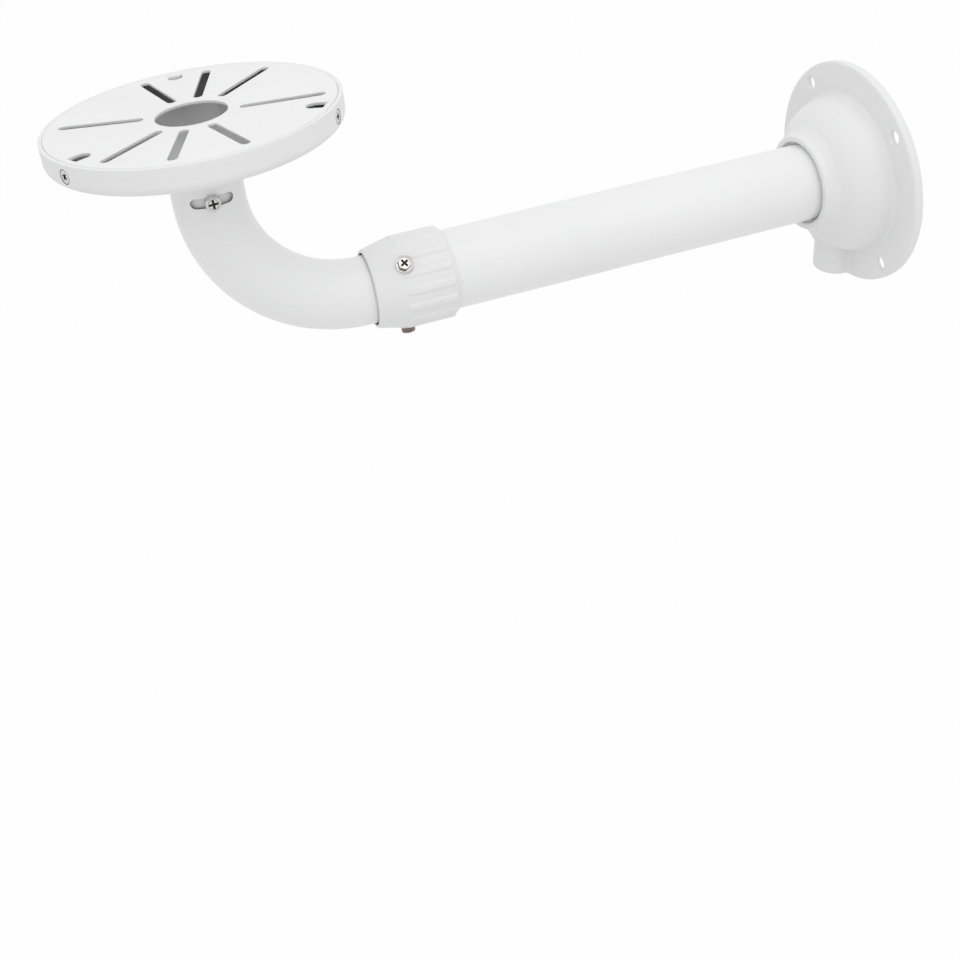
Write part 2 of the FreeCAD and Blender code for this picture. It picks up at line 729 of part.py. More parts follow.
def collar_screw(number):
    """A hex washer head screw, standing square on one of the collar's flats."""
    body = new_body(f"collar_screw_{number}")
    angle = s.collar_screw_turn + as_size(360 * (number - 1)) / s.collar_screw_count
    place(
        body,
        x=-SCREW_ON_COLLAR,
        y=-SPOT_FACE_HEIGHT * sine(angle),
        z=SPOT_FACE_HEIGHT * cosine(angle),
        axis=(1, 0, 0),
        angle=angle,
    )
    tip = s.elbow_radius + s.sliding_clearance - SPOT_FACE_HEIGHT
    turned(body, "Shank", [
        (tip, 0),
        (tip, s.collar_screw_radius),
        (0, s.collar_screw_radius),
        (0, s.washer_radius),
        (s.washer_thickness, s.washer_radius),
        (s.washer_thickness, 0),
    ], axis="V_Axis")
    hexagon = new_sketch(body, "HexOutline", "XY_Plane", s.washer_thickness)
    corner_radius = s.hex_across_flats / (cosine(30) * 2)
    add_outline(hexagon, [(corner_radius * cosine(60 * k), corner_radius * sine(60 * k)) for k in range(6)])
    extruded(body, "Hex", hexagon, s.hex_height)
    top = s.washer_thickness + s.hex_height
    turned(body, "HexCorners", [
        (top, s.hex_across_flats / 2),
        (top, s.hex_across_flats),
        (top - s.hex_corner_cut * 2, s.hex_across_flats),
        (top - s.hex_corner_cut, corner_radius),
    ], axis="V_Axis", cut=True)
    cross_recess(body, "XY_Plane", top)
    return body


def rim_screw(number):
    """A countersunk screw through the rim into a tongue of the plate."""
    body = new_body(f"rim_screw_{number}")
    angle = as_size(90) + as_size(360 * (number - 1)) / s.tongue_count
    face = s.rim_radius - s.rim_screw_sink
    place(
        body,
        x=face * cosine(angle) - HEAD_REACH,
        y=face * sine(angle),
        z=RIM_SCREW_HEIGHT,
        axis=(0, 0, 1),
        angle=angle,
    )
    cone_end = -(s.rim_head_land + s.small_head_radius - s.small_screw_radius)
    turned(body, "Screw", [
        (0, 0),
        (0, s.small_head_radius),
        (-s.rim_head_land, s.small_head_radius),
        (cone_end, s.small_screw_radius),
        (-s.rim_screw_length, s.small_screw_radius),
        (-s.rim_screw_length, 0),
    ])
    cross_recess(body, "YZ_Plane", 0)
    return body


def swivel_screw(number):
    """A pan head screw that runs in an arc slot of the elbow tube and is threaded into the spigot."""
    body = new_body(f"swivel_screw_{number}")
    angle = as_size(180 * number + 90)
    underside = s.elbow_radius + s.end_clearance
    place(
        body,
        x=underside * cosine(angle) - HEAD_REACH,
        y=underside * sine(angle),
        z=SWIVEL_HEIGHT,
        axis=(0, 0, 1),
        angle=angle,
    )
    head_top = s.pan_head_side + s.pan_head_round
    turned(body, "Screw", [
        (-s.swivel_screw_length, 0),
        (-s.swivel_screw_length, s.small_screw_radius),
        (0, s.small_screw_radius),
        (0, s.small_head_radius),
        (s.pan_head_side, s.small_head_radius, -s.pan_head_round),
        (head_top, s.small_head_radius - s.pan_head_round),
        (head_top, 0),
    ])
    cross_recess(body, "YZ_Plane", head_top)
    return body


pieces = [wall_flange(), arm_tube(), collar(), guide_ring(), elbow_tube(), cup(), top_plate()]
pieces += [collar_screw(number) for number in range(1, SIZES["collar_screw_count"] + 1)]
pieces += [rim_screw(number) for number in range(1, SIZES["tongue_count"] + 1)]
pieces += [swivel_screw(number) for number in (1, 2)]
doc.recompute()

for item in doc.Objects:
    faults = {"Invalid", "Error"}.intersection(item.State)
    if faults:
        raise RuntimeError(f"{item.Name} is {faults}")
for piece in pieces:
    if piece.Shape.isNull() or not piece.Shape.isValid():
        raise RuntimeError(f"{piece.Label} has no valid shape")
    if len(piece.Shape.Solids) != 1:
        raise RuntimeError(f"{piece.Label} is not one solid")

os.makedirs("parts", exist_ok=True)
for piece in pieces:
    piece.Shape.exportStep(os.path.join("parts", f"{piece.Label}.step"))
    print(piece.Label, round(piece.Shape.Volume, 1), piece.Shape.BoundBox)
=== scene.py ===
"""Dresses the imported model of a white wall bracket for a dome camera, and sets it in a pale studio.

The frame of the model is used as it is: metres, the wall at x = 0, the arm along -X and +Z up.
"""

import math

import bmesh
import bpy
import numpy as np
from bpy.props import FloatProperty, FloatVectorProperty, IntProperty, PointerProperty
from mathutils import Matrix, Vector


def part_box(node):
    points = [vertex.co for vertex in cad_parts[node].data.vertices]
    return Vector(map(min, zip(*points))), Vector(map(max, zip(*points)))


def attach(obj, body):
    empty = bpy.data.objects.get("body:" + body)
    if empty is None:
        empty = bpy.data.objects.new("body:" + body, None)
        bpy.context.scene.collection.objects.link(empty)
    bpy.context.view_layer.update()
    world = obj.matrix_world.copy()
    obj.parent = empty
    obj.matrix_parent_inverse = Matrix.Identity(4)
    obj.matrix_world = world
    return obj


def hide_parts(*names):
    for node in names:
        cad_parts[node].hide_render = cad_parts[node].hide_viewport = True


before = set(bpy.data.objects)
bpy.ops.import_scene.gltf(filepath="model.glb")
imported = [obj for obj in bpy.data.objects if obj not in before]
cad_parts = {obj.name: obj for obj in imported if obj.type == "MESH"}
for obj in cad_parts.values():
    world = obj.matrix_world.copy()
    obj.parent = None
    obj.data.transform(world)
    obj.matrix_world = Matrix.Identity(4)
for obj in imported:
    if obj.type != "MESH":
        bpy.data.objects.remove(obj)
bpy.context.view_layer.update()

bl_info = {
    "name": "Dome Camera Wall Bracket",
    "version": (1, 0, 0),
    "blender": (4, 5, 0),
    "location": "3D View > Sidebar > Bracket",
    "description": "Builds a wall bracket with a telescoping arm and a slotted dish, in white powder coat",
    "category": "Add Mesh",
}

MM = 0.001
TAU = math.tau
LIMITS = {"min": 0.0, "max": 1.0}

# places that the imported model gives
FLANGE_LOW, FLANGE_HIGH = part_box("wall_flange")
ARM_LOW, ARM_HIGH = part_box("arm_tube")
COLLAR_LOW, COLLAR_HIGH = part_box("collar")
ELBOW_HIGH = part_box("elbow_tube")[1]
CUP_LOW, CUP_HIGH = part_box("cup")
PLATE_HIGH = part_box("top_plate")[1]
DISH_X = (CUP_LOW.x + CUP_HIGH.x) / 2
COLLAR_SCREW_X = sum(corner.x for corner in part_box("collar_screw_1")) / 2
RIM_SCREW_Z = sum(corner.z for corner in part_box("rim_screw_1")) / 2
SWIVEL_SCREW_Z = sum(corner.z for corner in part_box("swivel_screw_1")) / 2


def length(name, description, default):
    return FloatProperty(name=name, description=description, default=default, min=0.0, unit="LENGTH")


def angle(name, description, degrees):
    return FloatProperty(name=name, description=description, default=math.radians(degrees), subtype="ANGLE")


def colour(name, description, default):
    return FloatVectorProperty(name=name, description=description, default=default, subtype="COLOR", **LIMITS)


def share(name, description, default):
    return FloatProperty(name=name, description=description, default=default, subtype="FACTOR", **LIMITS)


class FlangeSizes(bpy.types.PropertyGroup):
    turn: angle("Turn", "Turn of the casting about the arm's axis", 6.5)
    disc_radius: length("Disc Radius", "Outer radius of the flat disc", FLANGE_HIGH.z)
    disc_thickness: length("Disc Thickness", "Thickness of the flat disc", 5.0 * MM)
    dome_radius: length("Dome Radius", "Radius of the dome where it leaves the disc", 46.8 * MM)
    dome_depth: length("Dome Depth", "Depth of the dome at its shoulder", 27.5 * MM)
    shoulder_radius: length("Shoulder Radius", "Radius of the dome at its shoulder", 31.5 * MM)
    dome_curve: length("Dome Curve", "Radius of the dome's arc", 28.0 * MM)
    casting_wall: length("Casting Wall", "Wall of the dome and of the cable hood", 3.0 * MM)
    ring_foot: length("Ring Foot", "Radius of the dome where it meets the socket's ring", 29.2 * MM)
    ring_base: length("Ring Base", "Radius of the socket's ring at its foot", 28.2 * MM)
    ring_face: length("Ring Face", "Radius of the socket's ring at its face", 27.8 * MM)
    ring_length: length("Ring Length", "Length of the socket's ring", 4.0 * MM)
    mouth_radius: length("Mouth Radius", "Radius of the recess round the arm", 24.0 * MM)
    mouth_depth: length("Mouth Depth", "Depth of the recess round the arm", 3.0 * MM)
    boss_radius: length("Boss Radius", "Radius of the socket's boss inside the dome", 27.0 * MM)
    stop_radius: length("Stop Radius", "Radius of the cable hole behind the arm", 19.5 * MM)
    stop_wall: length("Stop Wall", "Wall behind the arm's end", 2.0 * MM)
    hood_half_width: length("Hood Half Width", "Half the width of the cable hood", 12.0 * MM)
    hood_straight: length("Hood Straight", "Height of the hood's straight sides", 6.5 * MM)
    hood_end: length("Hood End", "Distance of the hood's open end from the axis", 63.5 * MM)
    bolt_circle: length("Bolt Circle", "Radius of the bolt circle", 57.0 * MM)
    bolt_hole: length("Bolt Hole", "Radius of a bolt hole", 3.5 * MM)
    bolt_count: IntProperty(name="Bolt Count", description="Number of bolt holes", default=4, min=1)
    relief_radius: length("Relief Radius", "Radius of the relief behind a bolt hole", 6.8 * MM)
    relief_depth: length("Relief Depth", "Depth of the relief behind a bolt hole", 2.4 * MM)
    grain: length(
        "Casting Softness", "Edge length of the remeshed casting, which rounds its edges", 0.76 * MM
    )


class TubeSizes(bpy.types.PropertyGroup):
    arm_radius: length("Arm Radius", "Outer radius of the straight arm", ARM_HIGH.z)
    arm_wall: length("Arm Wall", "Wall of the straight arm", 2.0 * MM)
    elbow_radius: length("Elbow Radius", "Outer radius of the bent tube", ELBOW_HIGH.y)
    elbow_wall: length("Elbow Wall", "Wall of the bent tube", 2.0 * MM)
    bend_radius: length("Bend Radius", "Radius of the bend's centre line", 72.0 * MM)
    edge_round: length("Edge Round", "Rounding of the tubes' cut ends", 0.4 * MM)
    groove_from_end: length("Groove From End", "Distance of the ring's groove from the inner end", 5.0 * MM)
    groove_width: length("Groove Width", "Width of the ring's groove", 6.0 * MM)
    groove_depth: length("Groove Depth", "Depth of the ring's groove", 0.8 * MM)
    slot_half_length: length("Slot Half Length", "Half the length of an arc slot", 10.98 * MM)
    slot_half_width: length("Slot Half Width", "Half the width of an arc slot", 2.7 * MM)
    steps: IntProperty(name="Steps", description="Faces round a tube", default=192, min=12)


class CollarSizes(bpy.types.PropertyGroup):
    mouth_gap: length("Mouth Gap", "Radius of the gap at the collar's mouth", 20.3 * MM)
    mouth_depth: length("Mouth Depth", "Depth of the gap at the collar's mouth", 4.5 * MM)
    guide_bore: length("Guide Bore", "Radius of the bore that guides the bent tube", 19.3 * MM)
    guide_length: length("Guide Length", "Length of the collar ahead of the arm", 7.5 * MM)
    arm_bore: length("Arm Bore", "Radius of the bore over the arm", 22.3 * MM)
    lip_radius: length("Lip Radius", "Outer radius at the mouth", 21.8 * MM)
    cone_length: length("Cone Length", "Length of the cone behind the mouth", 14.0 * MM)
    valley_radius: length("Valley Radius", "Outer radius between the ridges", 25.0 * MM)
    tail_radius: length("Tail Radius", "Outer radius at the tail", 22.65 * MM)
    tail_length: length("Tail Length", "Length of the tail's cone", 3.0 * MM)
    ridge_count: IntProperty(name="Ridge Count", description="Number of grip ridges", default=16, min=1)
    ridge_rise: length("Ridge Rise", "Height of a ridge over the valleys", 0.9 * MM)
    ridge_half_width: length("Ridge Half Width", "Half the width of a ridge", 2.15 * MM)
    ridge_start: length("Ridge Start", "Start of the ridges behind the mouth", 15.9 * MM)
    ridge_softness: length("Ridge Softness", "Width of a ridge's sloping side", 1.5 * MM)
    seat_count: IntProperty(name="Seat Count", description="Number of screw seats", default=3, min=1)
    seat_turn: angle("Seat Turn", "Direction of the first screw seat", 135)
    seat_height: length("Seat Height", "Height of a screw seat over the axis", 24.6 * MM)
    seat_radius: length("Seat Radius", "Radius of a screw seat", 5.0 * MM)


class DishSizes(bpy.types.PropertyGroup):
    rim_radius: length("Rim Radius", "Outer radius of the rim", (CUP_HIGH.x - CUP_LOW.x) / 2)
    rim_wall: length("Rim Wall", "Wall of the rim", 5.1 * MM)
    rim_lip: length("Rim Lip", "Wall of the lip round the plate", 2.15 * MM)
    rim_round: length("Rim Round", "Rounding of the rim's lower corner", 5.0 * MM)
    cone_rise: length("Cone Rise", "Rise of the cone from the neck to the rim", 15.3 * MM)
    neck_radius: length("Neck Radius", "Radius of the neck over the bent tube", 20.5 * MM)
    neck_band: length("Neck Band", "Height of the neck's upright band", 2.2 * MM)
    floor_wall: length("Floor Wall", "Thickness of the dish's floor", 3.5 * MM)
    spigot_radius: length("Spigot Radius", "Radius of the spigot in the bent tube", 16.8 * MM)
    spigot_wall: length("Spigot Wall", "Wall of the spigot", 1.8 * MM)
    hub_radius: length("Hub Radius", "Radius of the cable hole in the floor", 12.2 * MM)
    hub_wall: length("Hub Wall", "Wall over the spigot's bore", 2.7 * MM)
    plate_radius: length("Plate Radius", "Radius of the top plate", PLATE_HIGH.y)
    plate_thickness: length("Plate Thickness", "Thickness of the top plate", 1.4 * MM)
    plate_dip: length("Plate Dip", "Drop of the plate from its edge to its middle hole", 1.3 * MM)
    # past this radius the dish's inner faces are painted dark grey, a painted shade for the shade deep inside
    # the dish
    bare_radius: length("Bare Radius", "Radius inside the dish beyond which the casting is bare", 62.0 * MM)
    hole_radius: length("Hole Radius", "Radius of the plate's middle hole", 18.5 * MM)
    slot_inner: length("Slot Inner", "Inner tip of a slot", 24.3 * MM)
    slot_outer: length("Slot Outer", "Outer tip of a slot", 67.6 * MM)
    slot_half_width: length("Slot Half Width", "Half the width of a slot", 2.5 * MM)
    tongue_count: IntProperty(name="Tongue Count", description="Number of bent tongues", default=3, min=1)
    tongue_radius: length("Tongue Radius", "Distance of a tongue's inner face from the axis", 69.3 * MM)
    tongue_half_width: length("Tongue Half Width", "Half the width of a tongue", 4.0 * MM)
    tongue_cut: length("Tongue Cut", "Length of the opening that a tongue was bent from", 8.9 * MM)
    tongue_bend: length("Tongue Bend", "Inner radius of a tongue's bend", 0.5 * MM)
    plate_edge: length("Plate Edge", "Rounding of the plate's edges", 0.3 * MM)
    steps: IntProperty(name="Steps", description="Faces round the rim", default=288, min=12)


class ScrewSizes(bpy.types.PropertyGroup):
    shank: length("Shank", "Radius of the small screws' shanks", 2.0 * MM)
    head: length("Head", "Radius of the pan heads", 4.0 * MM)
    rim_head: length("Rim Head", "Radius of the countersunk heads", 3.5 * MM)
    pitch: length("Pitch", "Pitch of the small screws' threads", 0.7 * MM)
    land: length("Land", "Upright edge of a countersunk head", 0.3 * MM)
    rim_sink: length("Rim Sink", "Depth of a rim screw's face below the rim", 0.1 * MM)
    rim_length: length("Rim Screw Length", "Length of a rim screw", 9.9 * MM)
    pan_side: length("Pan Side", "Upright edge of a pan head", 1.6 * MM)
    pan_round: length("Pan Round", "Rounding of a pan head", 1.5 * MM)
    swivel_length: length("Swivel Screw Length", "Length of a swivel screw under its head", 6.5 * MM)
    swivel_reach: length("Swivel Reach", "Height of a pan head's underside over the swivel's axis", 19.5 * MM)
    washer: length("Washer", "Radius of a hex head's washer", 4.5 * MM)
    washer_thickness: length("Washer Thickness", "Thickness of a hex head's washer", 0.9 * MM)
    hex_width: length("Hex Width", "Width of a hex head across its flats", 6.5 * MM)
    hex_height: length("Hex Height", "Height of a hex head over its washer", 3.2 * MM)
    collar_shank: length("Collar Shank", "Radius of the collar screws' shanks", 2.1 * MM)
    collar_length: length("Collar Screw Length", "Length of a collar screw under its washer", 5.3 * MM)
    recess_reach: length("Recess Reach", "Half the width of the cross recess", 2.5 * MM)
    recess_wing: length("Recess Wing", "Half the thickness of the recess's wings", 0.62 * MM)
    recess_depth: length("Recess Depth", "Depth of the cross recess", 1.5 * MM)


class Finish(bpy.types.PropertyGroup):
    coat: colour("Coat", "Colour of the white powder coat", (0.80, 0.80, 0.802))
    coat_shade: colour("Coat Shade", "Colour of the coat where it lies thin", (0.765, 0.766, 0.770))
    cast_tone: share("Cast Tone", "Brightness of the coat on the castings", 0.98)
    tube_tone: FloatProperty(
        name="Tube Tone", description="Brightness of the coat on the tubes", default=1.02, min=0
    )
    # painted shade: this dark grey on the dish's inner faces stands in for the shade inside the dish
    bare: colour("Bare", "Colour of the bare casting inside the dish", (0.24, 0.24, 0.24))
    steel: colour("Steel", "Colour of the plated screws", (0.66, 0.645, 0.625))
    # painted shade: this near black in the collar's bore darkens the gap at its mouth, and in the rim screws'
    # seats draws a dark outline round each head
    bore: colour("Bore", "Colour of the collar's bore, where the coat thins out", (0.10, 0.10, 0.105))
    # painted reflection: the hex heads' upright sides are darkened as if they mirrored dark surroundings
    steel_side: colour("Steel Side", "Colour of the hex heads' tarnished sides", (0.21, 0.17, 0.14))
    # painted shade: this near black in the screws' cross recesses stands in for the shade inside them
    recess: colour("Recess", "Colour of the grime in the screws' recesses", (0.045, 0.036, 0.028))
    # the arc slots' side walls are painted this darker grey
    cut: colour("Cut", "Colour of the bare metal round the arc slots", (0.30, 0.30, 0.30))
    steel_shade: colour("Steel Shade", "Colour of the plating in its fine scratches", (0.52, 0.50, 0.475))
    plastic: colour("Plastic", "Colour of the guide ring", (0.74, 0.73, 0.69))
    plastic_shade: colour("Plastic Shade", "Colour of the guide ring's flow marks", (0.66, 0.65, 0.60))


class StageSettings(bpy.types.PropertyGroup):
    floor_height: FloatProperty(
        name="Floor Height", description="Height of the floor", default=-0.30, unit="LENGTH"
    )
    floor_size: length("Floor Size", "Width of the floor", 8.0)
    floor_colour: colour("Floor Colour", "Colour of the floor", (0.815, 0.815, 0.815))
    sky: FloatProperty(name="Sky", description="Strength of the light from above", default=0.95, min=0)
    horizon: FloatProperty(
        name="Horizon", description="Strength of the light from the sides", default=0.89, min=0
    )
    key: FloatProperty(
        name="Key", description="Power of the soft light in front", default=4.0, min=0, unit="POWER"
    )


class BracketSettings(bpy.types.PropertyGroup):
    flange: PointerProperty(type=FlangeSizes)
    tube: PointerProperty(type=TubeSizes)
    collar: PointerProperty(type=CollarSizes)
    dish: PointerProperty(type=DishSizes)
    screw: PointerProperty(type=ScrewSizes)
    finish: PointerProperty(type=Finish)
    stage: PointerProperty(type=StageSettings)


# outlines and plain meshes


def softened(corners, steps=5):
    """The points of a closed outline, with each corner (along, radius, round) replaced by an arc."""
    corners = [tuple(corner) + (0.0,) * (3 - len(corner)) for corner in corners]
    points = []
    for index, (along, radius, rounding) in enumerate(corners):
        here = Vector((along, radius))
        back = Vector(corners[index - 1][:2]) - here
        ahead = Vector(corners[(index + 1) % len(corners)][:2]) - here
        half = back.angle(ahead) / 2
        if not rounding or half > math.radians(89):
            points.append(here)
            continue
        reach = rounding / math.tan(half)
        centre = here + (back.normalized() + ahead.normalized()).normalized() * (rounding / math.sin(half))
        first, last = here + back.normalized() * reach - centre, here + ahead.normalized() * reach - centre
        for step in range(steps + 1):
            part = first.lerp(last, step / steps)
            points.append(centre + part.normalized() * rounding)
    return [(point.x, point.y) for point in points]


def along_arc(centre, first, last, steps):
    """Points from first to last, the shorter way round a centre."""
    start, end = Vector(first) - Vector(centre), Vector(last) - Vector(centre)
    heading = math.atan2(start.y, start.x)
    turn = math.remainder(math.atan2(end.y, end.x) - heading, TAU)
    headings = [heading + turn * step / steps for step in range(steps + 1)]
    reach = start.length
    return [(centre[0] + reach * math.cos(a), centre[1] + reach * math.sin(a)) for a in headings]


def dome_outline(foot, top, radius, steps=28):
    """Half a dome's outline: an arc from its foot to its top that bulges outward."""
    foot, top = Vector(foot), Vector(top)
    chord = top - foot
    inward = Vector((chord.y, -chord.x)).normalized()
    if inward.y > 0:
        inward = -inward
    centre = (foot + top) / 2 + inward * math.sqrt(radius * radius - chord.length_squared / 4)
    return along_arc(centre, foot, top, steps)


def pointing(turn):
    """The direction at an angle from the first axis towards the second."""
    return Vector((math.cos(turn), math.sin(turn)))


def circle(middle, radius, steps):
    """The points of a circle."""
    turns = [TAU * k / steps for k in range(steps)]
    return [(middle.x + radius * math.cos(turn), middle.y + radius * math.sin(turn)) for turn in turns]


def relaxed(points, spacing, passes):
    """An open outline divided evenly, its corners worn soft by repeated averaging between fixed ends."""
    line = [point for first, last in zip(points, points[1:]) for point in steps_between(first, last, spacing)]
    line = np.array([*line, points[-1]])
    for _ in range(passes):
        line[1:-1] += ((line[:-2] + line[2:]) / 2 - line[1:-1]) / 2
    return [tuple(point) for point in line]


def steps_between(first, last, spacing):
    """Even steps from first up to, but not with, last."""
    count = max(1, round(math.dist(first, last) / spacing))
    return [
        (first[0] + (last[0] - first[0]) * step / count, first[1] + (last[1] - first[1]) * step / count)
        for step in range(count)
    ]


def divided(points, spacing):
    """A closed outline with its long edges divided."""
    closed = [*points, points[0]]
    return [point for first, last in zip(closed, closed[1:]) for point in steps_between(first, last, spacing)]


def on_x(along):
    """A straight axis along X: its points and the two directions square to it."""
    zero, one = np.zeros_like(along), np.ones_like(along)
    return np.stack([along, zero, zero], -1), np.stack([zero, one, zero], -1), np.stack([zero, zero, one], -1)


def on_z(along):
    """A straight axis along Z through the origin."""
    zero, one = np.zeros_like(along), np.ones_like(along)
    return np.stack([zero, zero, along], -1), np.stack([one, zero, zero], -1), np.stack([zero, one, zero], -1)


def swept(profile, steps, path=on_x, radius_rule=None):
    """Points and faces of an outline of (along, radius) points carried round a path's axis."""
    along, radius = np.array(profile, float).T
    turn = np.arange(steps)[:, None] * TAU / steps
    radius = np.broadcast_to(radius, (steps, len(along)))
    if radius_rule:
        radius = radius_rule(turn, along[None, :], radius)
    centre, across, upward = path(along)
    points = centre[None] + radius[..., None] * (
        np.cos(turn)[..., None] * across[None] + np.sin(turn)[..., None] * upward[None]
    )
    index = np.arange(steps * len(along)).reshape(steps, len(along))
    after = np.roll(index, -1, 0)
    faces = np.stack([index, np.roll(index, -1, 1), np.roll(after, -1, 1), after], -1).reshape(-1, 4)
    return points.reshape(-1, 3), faces


def prism(outline, low, high, axis=2):
    """Points and faces of a flat outline stretched from low to high along an axis."""
    count = len(outline)
    order = {0: (2, 0, 1), 1: (1, 2, 0), 2: (0, 1, 2)}[axis]
    points = [(x, y, level) for level in (low, high) for x, y in outline]
    points = np.array(points)[:, order]
    sides = [(k, (k + 1) % count, (k + 1) % count + count, k + count) for k in range(count)]
    return points, [tuple(reversed(range(count))), tuple(range(count, count * 2)), *sides]


def new_object(name, data):
    """An object in the scene for a mesh, a light or a camera."""
    obj = bpy.data.objects.new(name, data)
    bpy.context.scene.collection.objects.link(obj)
    return obj


def clean_mesh(mesh, near, thin):
    """Merge the points that lie nearer together, drop the thinner faces, and turn all faces outwards."""
    work = bmesh.new()
    work.from_mesh(mesh)
    bmesh.ops.remove_doubles(work, verts=work.verts, dist=near)
    bmesh.ops.dissolve_degenerate(work, edges=work.edges, dist=thin)
    if work.calc_volume(signed=True) < 0:
        bmesh.ops.reverse_faces(work, faces=work.faces)
    work.to_mesh(mesh)
    work.free()


def solid(name, points, faces):
    """A closed mesh object whose faces point outwards."""
    mesh = bpy.data.meshes.new(name)
    mesh.from_pydata([tuple(point) for point in points], [], [tuple(int(k) for k in face) for face in faces])
    clean_mesh(mesh, near=1e-7, thin=1e-8)
    return new_object(name, mesh)


def settle(obj):
    """Replace an object's mesh by what its modifiers make of it."""
    shaped = obj.evaluated_get(bpy.context.evaluated_depsgraph_get())
    mesh = bpy.data.meshes.new_from_object(shaped)
    obj.modifiers.clear()
    old, obj.data = obj.data, mesh
    bpy.data.meshes.remove(old)


def join_by(obj, other, operation):
    """Unite an object with another, or cut it by the other, which is used up."""
    modifier = obj.modifiers.new("Boolean", "BOOLEAN")
    modifier.operation = operation
    modifier.solver = "EXACT"
    modifier.object = other
    settle(obj)
    mesh = other.data
    bpy.data.objects.remove(other)
    bpy.data.meshes.remove(mesh)
    if not obj.data.polygons:
        raise RuntimeError(f"{obj.name} came out empty")


def ease_edges(obj, width, chosen):
    """Round the sharp edges whose middle point is chosen."""
    sharp = math.radians(35)
    work = bmesh.new()
    work.from_mesh(obj.data)
    layer = work.edges.layers.float.new("bevel_weight_edge")
    for edge in work.edges:
        if len(edge.link_faces) == 2 and edge.calc_face_angle(0) > sharp:
            edge[layer] = float(chosen((edge.verts[0].co + edge.verts[1].co) / 2))
    work.to_mesh(obj.data)
    work.free()
    modifier = obj.modifiers.new("Bevel", "BEVEL")
    modifier.limit_method = "WEIGHT"
    modifier.width = width
    modifier.segments = 2
    settle(obj)


def finish_piece(obj, body, material, nodes, sharp=35):
    """Put a piece on its body in place of its nodes, with the given finish or else the ones it has."""
    mesh = obj.data
    clean_mesh(mesh, near=1e-6, thin=1e-6)
    if material:
        mesh.materials.clear()
        mesh.materials.append(material)
        mesh.polygons.foreach_set("material_index", np.zeros(len(mesh.polygons), int))
    mesh.shade_smooth()
    mesh.set_sharp_from_angle(angle=math.radians(sharp))
    mesh.update()
    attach(obj, body)
    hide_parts(*nodes)


def paint_faces(obj, material, chosen):
    """Give the faces that a rule chooses by their middle and normal another finish."""
    obj.data.materials.append(material)
    painted = [face for face in obj.data.polygons if chosen(face.center, face.normal)]
    if not painted:
        raise RuntimeError(f"{obj.name} has no face for {material.name}")
    for face in painted:
        face.material_index = len(obj.data.materials) - 1


# node trees


class Value:
    """What a node puts out. Arithmetic with it, by another or by a number, adds the math node for it."""

    def __init__(self, writer, socket):
        self.writer = writer
        self.socket = socket

    def __add__(self, other):
        return self.writer.math("ADD", self, other)

    def __sub__(self, other):
        return self.writer.math("SUBTRACT", self, other)

    def __rsub__(self, other):
        return self.writer.math("SUBTRACT", other, self)

    def __mul__(self, other):
        return self.writer.math("MULTIPLY", self, other)

    def __truediv__(self, other):
        return self.writer.math("DIVIDE", self, other)

    def __rtruediv__(self, other):
        return self.writer.math("DIVIDE", other, self)


class Writer:
    """Adds nodes to a tree and joins them, so that a rule reads as a formula."""

    def __init__(self, tree):
        self.nodes = tree.nodes
        self.links = tree.links

    def values(self, kind, inputs=None, **settings):
        """The outputs of a new node by name. Inputs go by name or number, and settings are properties."""
        node = self.nodes.new(kind)
        for name, value in settings.items():
            setattr(node, name, value)
        for key, value in (inputs or {}).items():
            if isinstance(value, Value):
                self.links.new(value.socket, node.inputs[key])
            else:
                node.inputs[key].default_value = value
        return {socket.name: Value(self, socket) for socket in node.outputs if socket.enabled}

    def value(self, kind, inputs=None, **settings):
        """The first output of a new node."""
        return next(iter(self.values(kind, inputs, **settings).values()))

    def join(self, value, socket):
        """Lead a value into a socket."""
        self.links.new(value.socket, socket)

    def math(self, operation, *values):
        """The result of a math node."""
        return self.value("ShaderNodeMath", dict(enumerate(values)), operation=operation)

    def smooth_step(self, value, low, high):
        """0 below low, 1 above high, and smooth between them."""
        inputs = {"Value": value, "From Min": low, "From Max": high}
        return self.value("ShaderNodeMapRange", inputs, interpolation_type="SMOOTHSTEP")

    def vector(self, x=0.0, y=0.0, z=0.0):
        """Three numbers as one vector."""
        return self.value("ShaderNodeCombineXYZ", {0: x, 1: y, 2: z})

    def turned(self, vector):
        """A rotation from its angles about the three axes."""
        return self.value("FunctionNodeEulerToRotation", {0: vector})

    def marked(self, name, kind):
        """The attribute that a mesh carries under a name."""
        return self.value("GeometryNodeInputNamedAttribute", {"Name": name}, data_type=kind)

    def together(self, *geometries):
        """Several geometries as one."""
        node = self.nodes.new("GeometryNodeJoinGeometry")
        for geometry in geometries:
            self.join(geometry, node.inputs[0])
        return Value(self, node.outputs[0])


def sockets(kind, *names):
    """Rows for a group's sockets of one kind."""
    return [(name, kind) for name in names]


def new_group(name, kind, inputs, outputs):
    """A node group with named sockets: its tree, its writer, its inputs as values and its output sockets."""
    tree = bpy.data.node_groups.new(name, kind)
    for direction, rows in (("INPUT", inputs), ("OUTPUT", outputs)):
        for label, socket_type, *default in rows:
            socket_type = "NodeSocket" + socket_type
            socket = tree.interface.new_socket(label, in_out=direction, socket_type=socket_type)
            if default:
                socket.default_value = default[0]
    writer = Writer(tree)
    return tree, writer, writer.values("NodeGroupInput"), writer.nodes.new("NodeGroupOutput").inputs


def run_group(obj, tree, sizes, values):
    """Run a geometry tree on an object and keep the result as a plain mesh.

    An input takes its value, or else the size of the same name, by the socket's identifier.
    """
    modifier = obj.modifiers.new(tree.name, "NODES")
    modifier.node_group = tree
    for item in tree.interface.items_tree:
        if item.in_out == "INPUT" and item.socket_type != "NodeSocketGeometry":
            size = getattr(sizes, item.name.lower().replace(" ", "_"), None)
            modifier[item.identifier] = values.get(item.name, size)
    obj.data.update()
    settle(obj)
    if not obj.data.polygons:
        raise RuntimeError(f"{tree.name} made nothing for {obj.name}")


